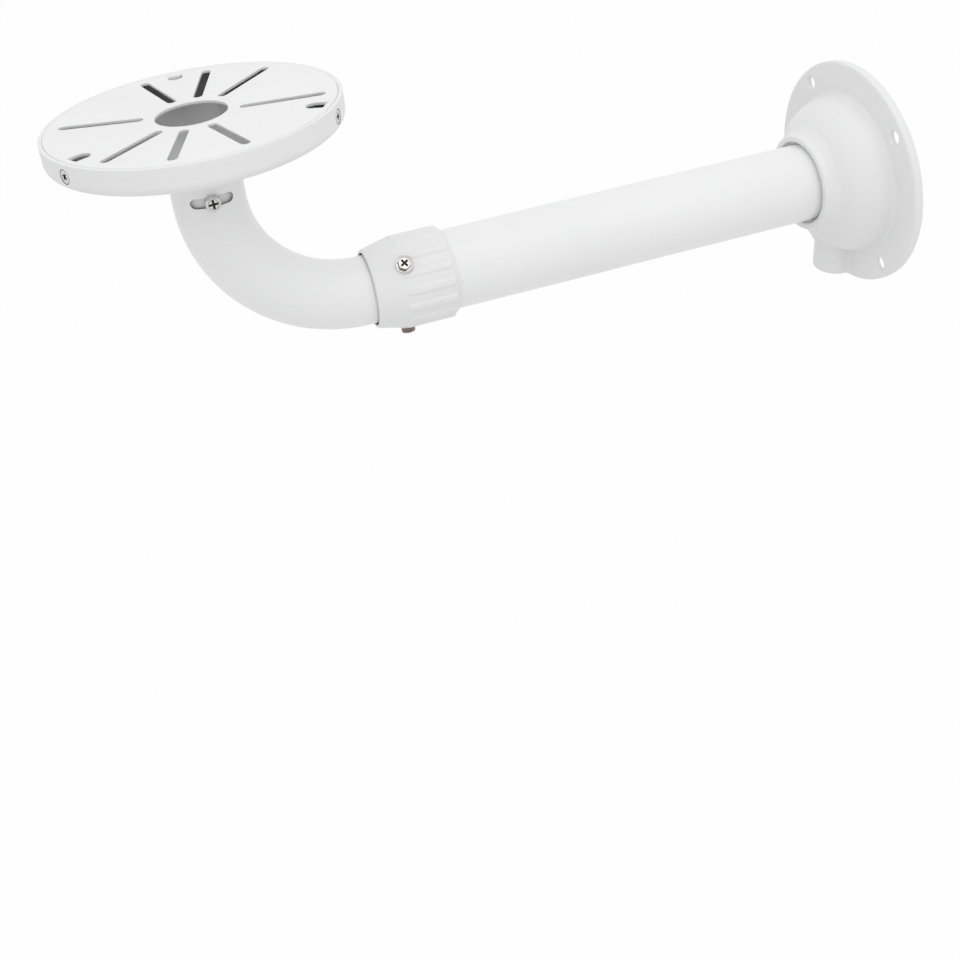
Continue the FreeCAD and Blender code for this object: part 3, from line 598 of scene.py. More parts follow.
def close_tree(writer, geometry, material, output, **marked_materials):
    """End a geometry tree in Realize Instances and Set Material, with other finishes on marked faces."""
    real = writer.value("GeometryNodeRealizeInstances", {"Geometry": geometry})
    finished = writer.value("GeometryNodeSetMaterial", {"Geometry": real, "Material": material})
    for mark, other in marked_materials.items():
        finished = writer.value("GeometryNodeSetMaterial", {
            "Geometry": finished, "Selection": writer.marked(mark, "BOOLEAN"), "Material": other,
        })
    writer.join(finished, output)


def mark_faces(obj, name, chosen):
    """Mark the faces that a rule chooses by their middle and normal."""
    marks = [chosen(face.center, face.normal) for face in obj.data.polygons]
    if not any(marks):
        raise RuntimeError(f"{obj.name} has no face for {name}")
    obj.data.attributes.new(name, "BOOLEAN", "FACE").data.foreach_set("value", marks)


def collar_tree():
    """The rule of the collar's skin: soft ridges between smooth ends, and a flat seat under each screw."""
    tree, w, given, out = new_group("Collar Skin", "GeometryNodeTree", [
        *sockets("Geometry", "Geometry"),
        *sockets("Float", "Mouth", "Skin Radius"),
        ("Ridge Count", "Int", 16),
        *sockets("Float", "Ridge Rise", "Ridge Half Width", "Ridge Start", "Ridge End", "Ridge Softness"),
        ("Seat Count", "Int", 3),
        *sockets("Float", "Seat Turn", "Seat Along", "Seat Height", "Seat Radius"),
        *sockets("Material", "Material", "Bore Material"),
    ], sockets("Geometry", "Geometry"))
    x, y, z = w.values("ShaderNodeSeparateXYZ", {0: w.value("GeometryNodeInputPosition")}).values()

    def hypotenuse(one, other):
        return w.math("SQRT", one * one + other * other)

    along = x - given["Mouth"]
    radius = hypotenuse(y, z)
    turns = w.math("ARCTAN2", z, y) / TAU

    def from_nearest(count, first):
        """Angle from the nearest of count evenly spread directions, the first of which is given in turns."""
        place = (turns - first) * count
        return (place - w.math("ROUND", place)) * TAU / count

    # a ridge is a rectangle with round corners on the skin, and its height falls off across its outline
    across = w.math("ABSOLUTE", from_nearest(given["Ridge Count"], 0.5 / given["Ridge Count"]) * radius)
    middle = (given["Ridge Start"] + given["Ridge End"]) * 0.5
    half_length = (given["Ridge End"] - given["Ridge Start"]) * 0.5
    corner = given["Ridge Half Width"] * 0.8
    over = w.math("ABSOLUTE", along - middle) - (half_length - corner)
    beside = across - (given["Ridge Half Width"] - corner)
    outside = hypotenuse(w.math("MAXIMUM", over, 0.0), w.math("MAXIMUM", beside, 0.0))
    inside = w.math("MINIMUM", w.math("MAXIMUM", over, beside), 0.0)
    slope = given["Ridge Softness"] * 0.5
    ridge = 1.0 - w.smooth_step(outside + inside - corner, slope * -1.0, slope)
    raised = radius + ridge * given["Ridge Rise"]

    # a seat is flat inside its rim and gives way to the skin across it
    from_seat = from_nearest(given["Seat Count"], given["Seat Turn"] / TAU)
    seat_distance = hypotenuse(w.math("SINE", from_seat) * radius, along - given["Seat Along"])
    seated = w.math("MINIMUM", raised, given["Seat Height"] / w.math("COSINE", from_seat))
    rim_inward, rim_outward = 0.2 * MM, 0.5 * MM
    away = w.smooth_step(seat_distance, given["Seat Radius"] - rim_inward, given["Seat Radius"] + rim_outward)
    shaped = seated + (raised - seated) * away
    scale = shaped / radius - 1.0
    moved = w.value("GeometryNodeSetPosition", {
        "Geometry": given["Geometry"],
        "Selection": w.math("GREATER_THAN", radius, given["Skin Radius"]),
        "Offset": w.vector(0.0, y * scale, z * scale),
    })
    # the marked bore faces take the painted shade
    close_tree(w, moved, given["Material"], out["Geometry"], bore=given["Bore Material"])
    return tree


def ring_tree():
    """Copies of a screw set round a circle, each with its head pointing away from the centre."""
    tree, w, given, out = new_group("Screws On A Circle", "GeometryNodeTree", [
        *sockets("Geometry", "Geometry"),
        *sockets("Object", "Screw"),
        ("Count", "Int", 4),
        *sockets("Float", "Radius", "First Angle", "Spin", "Spin Step"),
        *sockets("Vector", "Centre", "Tilt"),
        *sockets("Material", "Material", "Recess Material", "Side Material"),
    ], sockets("Geometry", "Geometry"))
    index = w.value("GeometryNodeInputIndex")
    heading = given["First Angle"] + index * (TAU / given["Count"])
    place = w.vector(w.math("COSINE", heading) * given["Radius"], w.math("SINE", heading) * given["Radius"])
    screw = w.values("GeometryNodeObjectInfo", {"Object": given["Screw"]}, transform_space="ORIGINAL")
    spun = w.value("FunctionNodeRotateRotation", {
        0: w.turned(w.vector(0.0, math.pi / 2, heading)),
        1: w.turned(w.vector(z=given["Spin"] + index * given["Spin Step"])),
    }, rotation_space="LOCAL")
    copies = w.value("GeometryNodeInstanceOnPoints", {
        "Points": w.value("GeometryNodePoints", {"Count": given["Count"], "Position": place}),
        "Instance": screw["Geometry"],
        "Rotation": spun,
    })
    placed = w.value("GeometryNodeTransform", {
        "Geometry": copies, "Translation": given["Centre"], "Rotation": w.turned(given["Tilt"]),
    })
    # the marked hex sides take a painted dark reflection and the recesses a painted shade
    close_tree(
        w, placed, given["Material"], out["Geometry"],
        side=given["Side Material"], recess=given["Recess Material"],
    )
    return tree


def plate_tree():
    """A round plate with a middle hole, and a slot or a D-shaped opening on each point, as it is marked."""
    tree, w, given, out = new_group("Slotted Plate", "GeometryNodeTree", [
        *sockets("Geometry", "Geometry"),
        *sockets("Vector", "Centre"),
        *sockets("Float", "Plate Radius", "Hole Radius", "Slot Inner", "Slot Outer", "Slot Half Width"),
        *sockets("Float", "Opening Inner", "Opening Outer", "Opening Half Width", "Plate Thickness"),
        *sockets("Material", "Material"),
    ], sockets("Geometry", "Geometry"))
    turn = w.turned(w.vector(z=w.marked("turn", "FLOAT")))
    is_slot = w.marked("is_slot", "BOOLEAN")
    is_opening = w.value("FunctionNodeBooleanMath", {0: is_slot}, operation="NOT")
    x = w.value("ShaderNodeSeparateXYZ", {0: w.value("GeometryNodeInputPosition")})
    outlines = []
    for name, chosen in (("Slot", is_slot), ("Opening", is_opening)):
        inner, outer, half_width = (given[f"{name} {size}"] for size in ("Inner", "Outer", "Half Width"))
        middle = (inner + outer) * 0.5
        block = w.value("GeometryNodeCurvePrimitiveQuadrilateral", {
            "Width": outer - inner, "Height": half_width * 2.0,
        })
        placed = w.value("GeometryNodeSetPosition", {"Geometry": block, "Offset": w.vector(middle)})
        rounding = half_width * 0.999
        if name == "Opening":
            rounding = rounding * w.math("LESS_THAN", x, middle)
        bent = w.value("GeometryNodeFilletCurve", {
            "Curve": placed, "Radius": rounding, "Count": 10, "Limit Radius": True,
        }, mode="POLY")
        outlines.append(w.value("GeometryNodeInstanceOnPoints", {
            "Points": given["Geometry"], "Selection": chosen, "Instance": bent, "Rotation": turn,
        }))
    rim = w.value("GeometryNodeCurvePrimitiveCircle", {"Resolution": 288, "Radius": given["Plate Radius"]})
    hole = w.value("GeometryNodeCurvePrimitiveCircle", {"Resolution": 144, "Radius": given["Hole Radius"]})
    real = w.value("GeometryNodeRealizeInstances", {0: w.together(rim, hole, *outlines)})
    filled = w.value("GeometryNodeFillCurve", {"Curve": real})
    sides = w.value("GeometryNodeExtrudeMesh", {
        "Mesh": w.value("GeometryNodeFlipFaces", {0: filled}),
        "Offset": w.vector(z=given["Plate Thickness"] * -1.0),
        "Offset Scale": 1.0,
        "Individual": False,
    })
    merged = w.value("GeometryNodeMergeByDistance", {"Geometry": w.together(filled, sides), "Distance": 1e-6})
    lifted = w.value("GeometryNodeTransform", {"Geometry": merged, "Translation": given["Centre"]})
    close_tree(w, lifted, given["Material"], out["Geometry"])
    return tree


# finishes


def surface_group():
    """Fine grain, broad unevenness and small specks over Object coordinates, for every finish."""
    tree, w, given, out = new_group("Uneven Surface", "ShaderNodeTree", [
        ("Vector", "Vector"),
        ("Grain Scale", "Float", 900.0),
        ("Grain Detail", "Float", 2.0),
        ("Cloud Scale", "Float", 14.0),
        ("Speck Scale", "Float", 2500.0),
    ], sockets("Float", "Grain", "Cloud", "Speck"))

    def noise(label, detail, roughness=0.5):
        return w.value("ShaderNodeTexNoise", {
            "Vector": given["Vector"], "Scale": given[label], "Detail": detail, "Roughness": roughness,
        })

    w.join(noise("Grain Scale", given["Grain Detail"], 0.55), out["Grain"])
    w.join(w.smooth_step(noise("Cloud Scale", 3.0), 0.35, 0.65), out["Cloud"])
    w.join(w.smooth_step(noise("Speck Scale", 1.0), 0.68, 0.78), out["Speck"])
    return tree


def new_material(name, light, dark, rough, relief, speck=0.25, stretch=(1, 1, 1), surface=None, shine=None):
    """A finish whose colour, roughness and fine relief all follow the shared surface group."""
    material = bpy.data.materials.new(name)
    material.use_nodes = True
    w = Writer(material.node_tree)
    shader = w.nodes["Principled BSDF"].inputs
    group = bpy.data.node_groups.get("Uneven Surface") or surface_group()
    place = w.values("ShaderNodeTexCoord")["Object"]
    mapped = w.value("ShaderNodeMapping", {"Vector": place, "Scale": stretch})
    found = w.values("ShaderNodeGroup", {"Vector": mapped, **(surface or {})}, node_tree=group)

    def darker(colour, amount):
        return w.value("ShaderNodeMix", {"Factor": amount, 6: colour, 7: (*dark, 1)}, data_type="RGBA")

    cloud_strength, grain_share, cloud_share = 0.35, 0.6, 0.4
    clouded = darker((*light, 1), found["Cloud"] * cloud_strength)
    w.join(darker(clouded, found["Speck"] * speck), shader["Base Color"])
    w.join(w.value("ShaderNodeMapRange", {
        "Value": found["Grain"] * grain_share + found["Cloud"] * cloud_share,
        "From Min": 0.2,
        "From Max": 0.8,
        "To Min": rough[0],
        "To Max": rough[1],
    }), shader["Roughness"])
    bump = w.value("ShaderNodeBump", {"Strength": relief, "Distance": 0.2 * MM, "Height": found["Grain"]})
    w.join(bump, shader["Normal"])
    for label, value in (shine or {}).items():
        shader[label].default_value = value
    return material


# each finish names its light colour and its dark one, or gives the dark one as a share of the light one,
# then its roughness from and to, the strength of its relief and specks, and what its surface group and its
# shader are given
FINISHES = {
    "cast_coat": {
        "light": "coat", "dark": "coat_shade", "tone": "cast_tone", "rough": (0.36, 0.50), "relief": 0.16,
        "surface": {"Grain Scale": 700.0}, "shine": {"Specular IOR Level": 0.35},
    },
    "tube_coat": {
        "light": "coat", "dark": "coat_shade", "tone": "tube_tone", "rough": (0.30, 0.42), "relief": 0.10,
        "speck": 0.15, "surface": {"Grain Scale": 900.0},
    },
    "plate_coat": {
        "light": "coat", "dark": "coat_shade", "rough": (0.34, 0.46), "relief": 0.12,
        "speck": 0.2, "surface": {"Grain Scale": 800.0},
    },
    # painted shade on the dish's inner faces
    "bare_casting": {
        "light": "bare", "dark": 0.8, "rough": (0.5, 0.7), "relief": 0.3,
        "surface": {"Grain Scale": 500.0, "Cloud Scale": 30.0},
    },
    # darker grey on the arc slots' side walls
    "bare_cut": {
        "light": "cut", "dark": 0.8, "rough": (0.4, 0.6), "relief": 0.15,
        "surface": {"Grain Scale": 1200.0, "Cloud Scale": 90.0},
    },
    # painted shade in the collar's bore and in the rim screws' seats
    "bare_bore": {
        "light": "bore", "dark": 0.7, "rough": (0.5, 0.7), "relief": 0.15,
        "surface": {"Grain Scale": 900.0, "Cloud Scale": 60.0},
    },
    "screw_plating": {
        "light": "steel", "dark": "steel_shade", "rough": (0.16, 0.34), "relief": 0.10,
        "speck": 0.4, "stretch": (1, 1, 6), "shine": {"Metallic": 1.0},
        "surface": {"Grain Scale": 1500.0, "Grain Detail": 4.0, "Cloud Scale": 160.0},
    },
    # painted dark reflection on the hex heads' sides
    "dark_plating": {
        "light": "steel_side", "dark": 0.6, "rough": (0.2, 0.4), "relief": 0.1, "shine": {"Metallic": 1.0},
        "surface": {"Grain Scale": 1500.0, "Cloud Scale": 300.0},
    },
    # painted shade in the screws' recesses
    "recess_grime": {
        "light": "recess", "dark": 0.5, "rough": (0.45, 0.7), "relief": 0.2,
        "surface": {"Grain Scale": 1800.0, "Cloud Scale": 400.0},
    },
    "ring_plastic": {
        "light": "plastic", "dark": "plastic_shade", "rough": (0.42, 0.55), "relief": 0.08,
        "surface": {"Grain Scale": 600.0, "Cloud Scale": 60.0},
    },
}


def finish(kind):
    """One of the bracket's finishes, made when it is first asked for."""
    made = bpy.data.materials.get(kind)
    if made:
        return made
    look = bpy.context.scene.bracket.finish
    values = dict(FINISHES[kind])
    tone = getattr(look, values.pop("tone")) if "tone" in values else 1.0
    light = [part * tone for part in getattr(look, values.pop("light"))]
    dark = values.pop("dark")
    if isinstance(dark, str):
        dark = [part * tone for part in getattr(look, dark)]
    else:
        dark = [part * dark for part in light]
    return new_material(kind, light, dark, **values)


# pieces


def half_round(half_width, straight, low, high, steps=32):
    """A bar along Z with a half-round front and a flat back, which lies just behind the wall's plane."""
    behind_wall = 2 * MM
    outline = [(behind_wall, half_width)]
    for k in range(steps + 1):
        turn = math.pi * k / steps
        outline.append((-straight - half_width * math.sin(turn), half_width * math.cos(turn)))
    outline.append((behind_wall, -half_width))
    return prism(outline, low, high)


def flange_outline(size):
    """Half the casting's section: disc, dome, socket ring, recess round the arm, and the hollow behind."""
    face, ring, stop = -size.disc_thickness, FLANGE_LOW.x, ARM_HIGH.x
    mouth_back, stop_front = ring + size.mouth_depth, stop + size.stop_wall
    inner = size.dome_radius - size.casting_wall
    cavity_face = -size.dome_depth + size.casting_wall
    shoulder = size.shoulder_radius
    foot_blend, crease = 9 * MM, 0.8 * MM
    outer_line = relaxed([
        (face, size.dome_radius + foot_blend),
        *dome_outline((face, size.dome_radius), (-size.dome_depth, shoulder), size.dome_curve),
        (ring + size.ring_length + crease, size.ring_foot),
    ], spacing=0.5 * MM, passes=8)
    inner_shoulder = (cavity_face, shoulder - size.casting_wall / 5)
    inner_arc = dome_outline((face, inner), inner_shoulder, size.dome_curve - size.casting_wall)
    arm_seat = size.mouth_radius - 1.7 * MM
    return softened([
        (0, size.disc_radius, 0.3 * MM),
        (face, size.disc_radius, 0.3 * MM),
        *outer_line,
        (ring + size.ring_length, size.ring_base),
        (ring, size.ring_face, 0.6 * MM),
        (ring, size.mouth_radius, 0.5 * MM),
        (mouth_back, size.mouth_radius),
        (mouth_back, arm_seat),
        (stop, arm_seat),
        (stop, size.stop_radius),
        (stop_front, size.stop_radius),
        (stop_front, size.boss_radius),
        (cavity_face, size.boss_radius),
        *reversed(inner_arc),
        (0, inner),
    ])


def make_flange(size):
    """The flange casting, remeshed so that its hood, dome and edges run into each other softly."""
    flange = solid("flange_casting", *swept(flange_outline(size), steps=256))
    into_dome, into_hollow, below = 6 * MM, 12 * MM, -80 * MM
    hood = solid("hood", *half_round(
        size.hood_half_width, size.hood_straight, -size.hood_end, into_dome - size.dome_radius
    ))
    behind_wall = solid("behind_wall", *prism([(0, -1), (1, -1), (1, 1), (0, 1)], -1, 1))
    join_by(hood, behind_wall, "DIFFERENCE")
    join_by(flange, hood, "UNION")
    passage = solid("passage", *half_round(
        size.hood_half_width - size.casting_wall, size.hood_straight, below, into_hollow - size.dome_radius
    ))
    join_by(flange, passage, "DIFFERENCE")
    in_front, through = 10 * MM, 20 * MM
    for k in range(size.bolt_count):
        middle = pointing(TAU * (k + 0.5) / size.bolt_count) * size.bolt_circle
        for radius, depth in ((size.bolt_hole, through), (size.relief_radius, size.relief_depth)):
            hole = solid("bolt_hole", *prism(circle(middle, radius, steps=48), -depth, in_front, axis=0))
            join_by(flange, hole, "DIFFERENCE")
    remesh = flange.modifiers.new("Remesh", "REMESH")
    remesh.mode = "VOXEL"
    remesh.voxel_size = size.grain
    relax = flange.modifiers.new("Relax", "SMOOTH")
    relax.factor = 0.5
    relax.iterations = 3
    settle(flange)
    flange.data.transform(Matrix.Rotation(size.turn, 4, "X"))
    finish_piece(flange, "wall_arm", finish("cast_coat"), ["wall_flange"], sharp=180)


def make_arm(size):
    """The straight tube, with its ends eased."""
    bore = size.arm_radius - size.arm_wall
    profile = softened([
        (ARM_LOW.x, bore, size.edge_round),
        (ARM_LOW.x, size.arm_radius, size.edge_round),
        (ARM_HIGH.x, size.arm_radius, size.edge_round),
        (ARM_HIGH.x, bore, size.edge_round),
    ])
    arm = solid("straight_arm", *swept(divided(profile, spacing=12 * MM), size.steps))
    finish_piece(arm, "wall_arm", finish("tube_coat"), ["arm_tube"])


def make_collar(size):
    """The collar, turned plain and then shaped by its rule."""
    mouth, tail = COLLAR_LOW.x, COLLAR_HIGH.x
    guide_start, guide_end = mouth + size.mouth_depth, mouth + size.guide_length
    ridge_end = tail - size.tail_length
    profile = softened([
        (mouth, size.mouth_gap, 0.2 * MM),
        (mouth, size.lip_radius, 1.25 * MM),
        (mouth + size.cone_length, size.valley_radius, 9.0 * MM),
        (ridge_end, size.valley_radius, 1.0 * MM),
        (tail, size.tail_radius, 0.25 * MM),
        (tail, size.arm_bore, 0.15 * MM),
        (guide_end, size.arm_bore),
        (guide_end, size.guide_bore),
        (guide_start, size.guide_bore),
        (guide_start, size.mouth_gap),
    ])
    collar = solid("clamp_collar", *swept(divided(profile, spacing=0.55 * MM), steps=384))

    # the bore's faces behind the mouth are marked for a near-black painted shade
    def in_bore(middle, normal):
        return middle.yz.length < size.mouth_gap + 0.1 * MM and middle.x > mouth + 0.7 * MM

    mark_faces(collar, "bore", in_bore)
    skin_depth, ridge_overlap = 1.2 * MM, 0.6 * MM
    run_group(collar, collar_tree(), size, {
        "Mouth": mouth,
        "Skin Radius": size.valley_radius - skin_depth,
        "Ridge End": ridge_end - mouth + ridge_overlap,
        "Seat Along": COLLAR_SCREW_X - mouth,
        "Material": finish("cast_coat"),
        "Bore Material": finish("bare_bore"),
    })
    finish_piece(collar, "wall_arm", None, ["collar"], sharp=60)


def elbow_path(bend):
    """The bent tube's centre line from its inner end to its top, by the distance along it."""
    straight = ELBOW_HIGH.x - (DISH_X + bend)
    quarter = bend * math.pi / 2

    def path(along):
        turn = np.clip((along - straight) / bend, 0, math.pi / 2)
        x = ELBOW_HIGH.x - np.minimum(along, straight) - bend * np.sin(turn)
        z = bend * (1 - np.cos(turn)) + np.maximum(along - straight - quarter, 0)
        zero, one = np.zeros_like(along), np.ones_like(along)
        across = np.stack([zero, one, zero], -1)
        upward = np.stack([np.sin(turn), zero, np.cos(turn)], -1)
        return np.stack([x, zero, z], -1), across, upward

    return path, straight, quarter


def from_dish_axis(point):
    """The way from the dish's axis to a point, seen from above."""
    return point.xy - Vector((DISH_X, 0))


def make_elbow(size):
    """The bent tube with its two arc slots."""
    path, straight, quarter = elbow_path(size.bend_radius)
    end = straight + quarter + ELBOW_HIGH.z - size.bend_radius
    bore = size.elbow_radius - size.elbow_wall
    groove = size.elbow_radius - size.groove_depth
    first, last = size.groove_from_end, size.groove_from_end + size.groove_width
    profile = softened([
        (0, bore, size.edge_round),
        (0, size.elbow_radius, size.edge_round),
        (first, size.elbow_radius),
        (first, groove),
        (last, groove),
        (last, size.elbow_radius),
        (end, size.elbow_radius, size.edge_round),
        (end, bore, size.edge_round),
    ])
    elbow = solid("elbow", *swept(divided(profile, spacing=1.6 * MM), size.steps, path))
    half, steps = size.slot_half_width, 16
    reach = size.slot_half_length - half
    outline = []
    for centre, start in ((DISH_X + reach, -0.5), (DISH_X - reach, 0.5)):
        for k in range(steps + 1):
            turn = math.pi * (start + k / steps)
            outline.append((SWIVEL_SCREW_Z + half * math.sin(turn), centre + half * math.cos(turn)))
    beyond_tube = 30 * MM
    join_by(elbow, solid("slot", *prism(outline, -beyond_tube, beyond_tube, axis=1)), "DIFFERENCE")

    def on_slot(point):
        near = 0.1 * MM
        at_height = abs(point.z - SWIVEL_SCREW_Z) < half + near
        return at_height and abs(point.x - DISH_X) < size.slot_half_length + near

    ease_edges(elbow, width=0.2 * MM, chosen=on_slot)
    finish_piece(elbow, "elbow", finish("tube_coat"), ["elbow_tube"])

    # the arc slots' side walls are painted a darker grey
    def on_slot_wall(middle, normal):
        outward = from_dish_axis(middle).normalized()
        sideways = abs(normal.xy.dot(outward)) < 0.45
        return on_slot(middle) and sideways and abs(middle.y) > bore / 2

    paint_faces(elbow, finish("bare_cut"), on_slot_wall)


def tongue_turns(size):
    """The directions of the tongues and of the rim screws that hold them, about the dish's axis."""
    return [math.pi / 2 + TAU * k / size.tongue_count for k in range(size.tongue_count)]


def make_cup(size, screw):
    """The dish's casting, with a countersunk seat for each rim screw."""
    top, bottom = CUP_HIGH.z, CUP_LOW.z
    gap_over_tube = 0.3 * MM
    shoulder = ELBOW_HIGH.z + gap_over_tube
    neck = shoulder + size.neck_band
    slope = size.cone_rise / (size.rim_radius - size.neck_radius)
    bore = size.rim_radius - size.rim_wall
    spigot_bore = size.spigot_radius - size.spigot_wall
    hub = neck + size.floor_wall - (size.neck_radius - size.hub_radius) * slope
    floor_edge = neck + size.floor_wall + (bore - size.neck_radius) * slope
    ledge = size.rim_radius - size.rim_lip
    profile = softened([
        (top, size.rim_radius, 0.4 * MM),
        (top, ledge, 0.35 * MM),
        (top - size.plate_thickness, ledge),
        (top - size.plate_thickness, bore, 0.3 * MM),
        (floor_edge, bore, 3.0 * MM),
        (hub, size.hub_radius, 0.8 * MM),
        (hub - size.hub_wall, size.hub_radius, 0.4 * MM),
        (hub - size.hub_wall, spigot_bore, 0.4 * MM),
        (bottom, spigot_bore, 0.4 * MM),
        (bottom, size.spigot_radius, 0.5 * MM),
        (shoulder, size.spigot_radius),
        (shoulder, size.neck_radius, 0.4 * MM),
        (neck, size.neck_radius, 1.2 * MM),
        (neck + size.cone_rise, size.rim_radius, size.rim_round),
    ], steps=8)
    cup = solid("dish_cup", *swept(divided(profile, spacing=3.0 * MM), size.steps, on_z))
    cup.data.transform(Matrix.Translation((DISH_X, 0, 0)))

    outside, within = size.rim_radius + MM, bore - 2 * MM
    play_behind, play_round, play_in_hole = 0.15 * MM, 0.35 * MM, 0.2 * MM
    face = size.rim_radius - screw.rim_sink - screw.land - play_behind
    head, hole = screw.rim_head + play_round, screw.shank + play_in_hole
    cone_end = face - head + hole
    seat = [(outside, 0), (outside, head), (face, head), (cone_end, hole), (within, hole), (within, 0)]
    for turn in tongue_turns(size):
        cutter = solid("screw_seat", *swept(seat, steps=48))
        cutter.data.transform(Matrix.Translation((DISH_X, 0, RIM_SCREW_Z)) @ Matrix.Rotation(turn, 4, "Z"))
        join_by(cup, cutter, "DIFFERENCE")
    finish_piece(cup, "head", finish("cast_coat"), ["cup"], sharp=30)

    # painted shade: the inner faces of the dish beyond its radius and below the plate are painted dark grey
    def inside(middle, normal):
        outward = from_dish_axis(middle)
        faces_in = normal.z > 0.02 or normal.xy.dot(outward) < -0.5 * outward.length
        below_plate = neck < middle.z < top - size.plate_thickness - 0.3 * MM
        return faces_in and below_plate and size.bare_radius < outward.length < bore + 0.1 * MM

    # painted shade: each rim screw's seat is painted near black, a dark outline round the head
    def in_seat(middle, normal):
        outward = from_dish_axis(middle)
        beside = min((outward - pointing(turn) * outward.length).length for turn in tongue_turns(size))
        in_wall = bore + 0.1 * MM < outward.length < size.rim_radius - 0.08 * MM
        return in_wall and beside < head and abs(middle.z - RIM_SCREW_Z) < head

    paint_faces(cup, finish("bare_casting"), inside)
    paint_faces(cup, finish("bare_bore"), in_seat)


def bend_tongues(plate, size):
    """Draw each tongue out of the flat side of its opening, round its bend and down to its round tip."""
    outer = size.plate_thickness + size.tongue_bend
    bend_steps = 8
    tip = size.tongue_half_width
    # angles round the tip in radians, closer together towards its end
    tip_angles = (0.35, 0.65, 0.9, 1.1, 1.27, 1.4, 1.5)
    levels = [(RIM_SCREW_Z, tip)]
    levels += [(RIM_SCREW_Z - tip * math.sin(a), tip * math.cos(a)) for a in tip_angles]
    work = bmesh.new()
    work.from_mesh(plate.data)
    work.faces.ensure_lookup_table()
    for heading in tongue_turns(size):
        ray = pointing(heading).to_3d()
        across = Vector((-ray.y, ray.x, 0))
        root = Vector((DISH_X, 0, 0)) + ray * (size.tongue_radius + outer)
        flat_side = root + Vector((0, 0, PLATE_HIGH.z - MM))
        hinge = root + Vector((0, 0, PLATE_HIGH.z - outer))
        turn = Matrix.Rotation(-math.pi / 2 / bend_steps, 3, across)
        face = min(work.faces, key=lambda each: (each.calc_center_median() - flat_side).length)
        for _ in range(bend_steps):
            face = bmesh.ops.extrude_discrete_faces(work, faces=[face])["faces"][0]
            bmesh.ops.rotate(work, verts=face.verts, cent=hinge, matrix=turn)
        for height, half_width in levels:
            face = bmesh.ops.extrude_discrete_faces(work, faces=[face])["faces"][0]
            for vertex in face.verts:
                side = (vertex.co - root).dot(across)
                vertex.co += across * (math.copysign(half_width, side) - side)
                vertex.co.z = height
    bmesh.ops.recalc_face_normals(work, faces=work.faces)
    work.to_mesh(plate.data)
    work.free()


def make_plate(size):
    """The top plate, cut by its tree, with its tongues bent down and its edges eased."""
    # four slots, unevenly spread in degrees about each side's diagonal
    diagonals, spread = (45, 225), (-60, 0, 30, 60)
    slot_turns = [math.radians(diagonal + aside) for diagonal in diagonals for aside in spread]
    turns = slot_turns + tongue_turns(size)
    places = bpy.data.meshes.new("slot_places")
    places.from_pydata([(0, 0, 0)] * len(turns), [], [])
    places.attributes.new("turn", "FLOAT", "POINT").data.foreach_set("value", turns)
    marks = [index < len(slot_turns) for index in range(len(turns))]
    places.attributes.new("is_slot", "BOOLEAN", "POINT").data.foreach_set("value", marks)
    plate = new_object("top_disc", places)
    run_group(plate, plate_tree(), size, {
        "Centre": (DISH_X, 0, PLATE_HIGH.z),
        "Opening Inner": size.tongue_radius - size.tongue_cut,
        "Opening Outer": size.tongue_radius + size.plate_thickness + size.tongue_bend,
        "Opening Half Width": size.tongue_half_width,
        "Material": finish("plate_coat"),
    })
    bend_tongues(plate, size)
    for vertex in plate.data.vertices:
        inward = size.plate_radius - from_dish_axis(vertex.co).length
        vertex.co.z -= size.plate_dip * max(0.0, inward) / (size.plate_radius - size.hole_radius)
    bevel = plate.modifiers.new("Bevel", "BEVEL")
    bevel.limit_method = "ANGLE"
    bevel.angle_limit = math.radians(55)
    bevel.width = size.plate_edge
    bevel.segments = 3
    settle(plate)
    finish_piece(plate, "head", finish("plate_coat"), ["top_plate"])


def thread(pitch, low, high, depth=0.25 * MM):
    """A rule that lowers a shank's radius along a helix, fading at both ends."""
    def rule(turn, along, radius):
        wave = np.abs(((along / pitch - turn / TAU) % 1.0) - 0.5) * 2
        fade = np.clip((along - low) / pitch, 0, 1) * np.clip((high - along) / pitch, 0, 1)
        return radius - depth * wave * fade
    return rule


def hexagon(width, low):
    """A rule that makes the part of a screw above low six-sided."""
    def rule(turn, along, radius):
        flat = width / 2 / np.cos((turn % (TAU / 6)) - TAU / 12)
        return np.where(along > low, np.minimum(radius, flat), radius)
    return rule


def cross_cut(obj, top, size, reach):
    """Sink a cross into the top of a head, narrower at its bottom than at its mouth."""
    low, high = -size.recess_depth, 0.3 * MM
    bottom_reach, bottom_wing, mouth_reach, mouth_wing = 0.42, 0.7, 1.07, 1.04
    points = []
    for level, spread, wing in ((low, bottom_reach, bottom_wing), (high, mouth_reach, mouth_wing)):
        long, short = reach * spread, size.recess_wing * wing
        points += [(-long, -short, level), (long, -short, level), (long, short, level), (-long, short, level)]
    faces = [(3, 2, 1, 0), (4, 5, 6, 7), (0, 1, 5, 4), (1, 2, 6, 5), (2, 3, 7, 6), (3, 0, 4, 7)]
    for turn in (0, math.pi / 2):
        cutter = solid("recess_wing", points, faces)
        cutter.data.transform(Matrix.Translation((0, 0, top)) @ Matrix.Rotation(turn, 4, "Z"))
        join_by(obj, cutter, "DIFFERENCE")

    # the recess's faces are marked for a near-black painted shade
    def in_recess(middle, normal):
        deep = top - size.recess_depth - 0.02 * MM < middle.z < top - 0.005 * MM
        return deep and middle.xy.length < reach * mouth_reach

    mark_faces(obj, "recess", in_recess)


def shank_line(radius, low, high, spacing):
    """Points along a shank, close enough together to carry a thread."""
    count = max(2, round((high - low) / spacing))
    return [(low + (high - low) * k / count, radius) for k in range(count + 1)]


# A screw's shape is its shank's radius, its tip, the start of its head, its head's outline, its top and the
# rule for its radius.


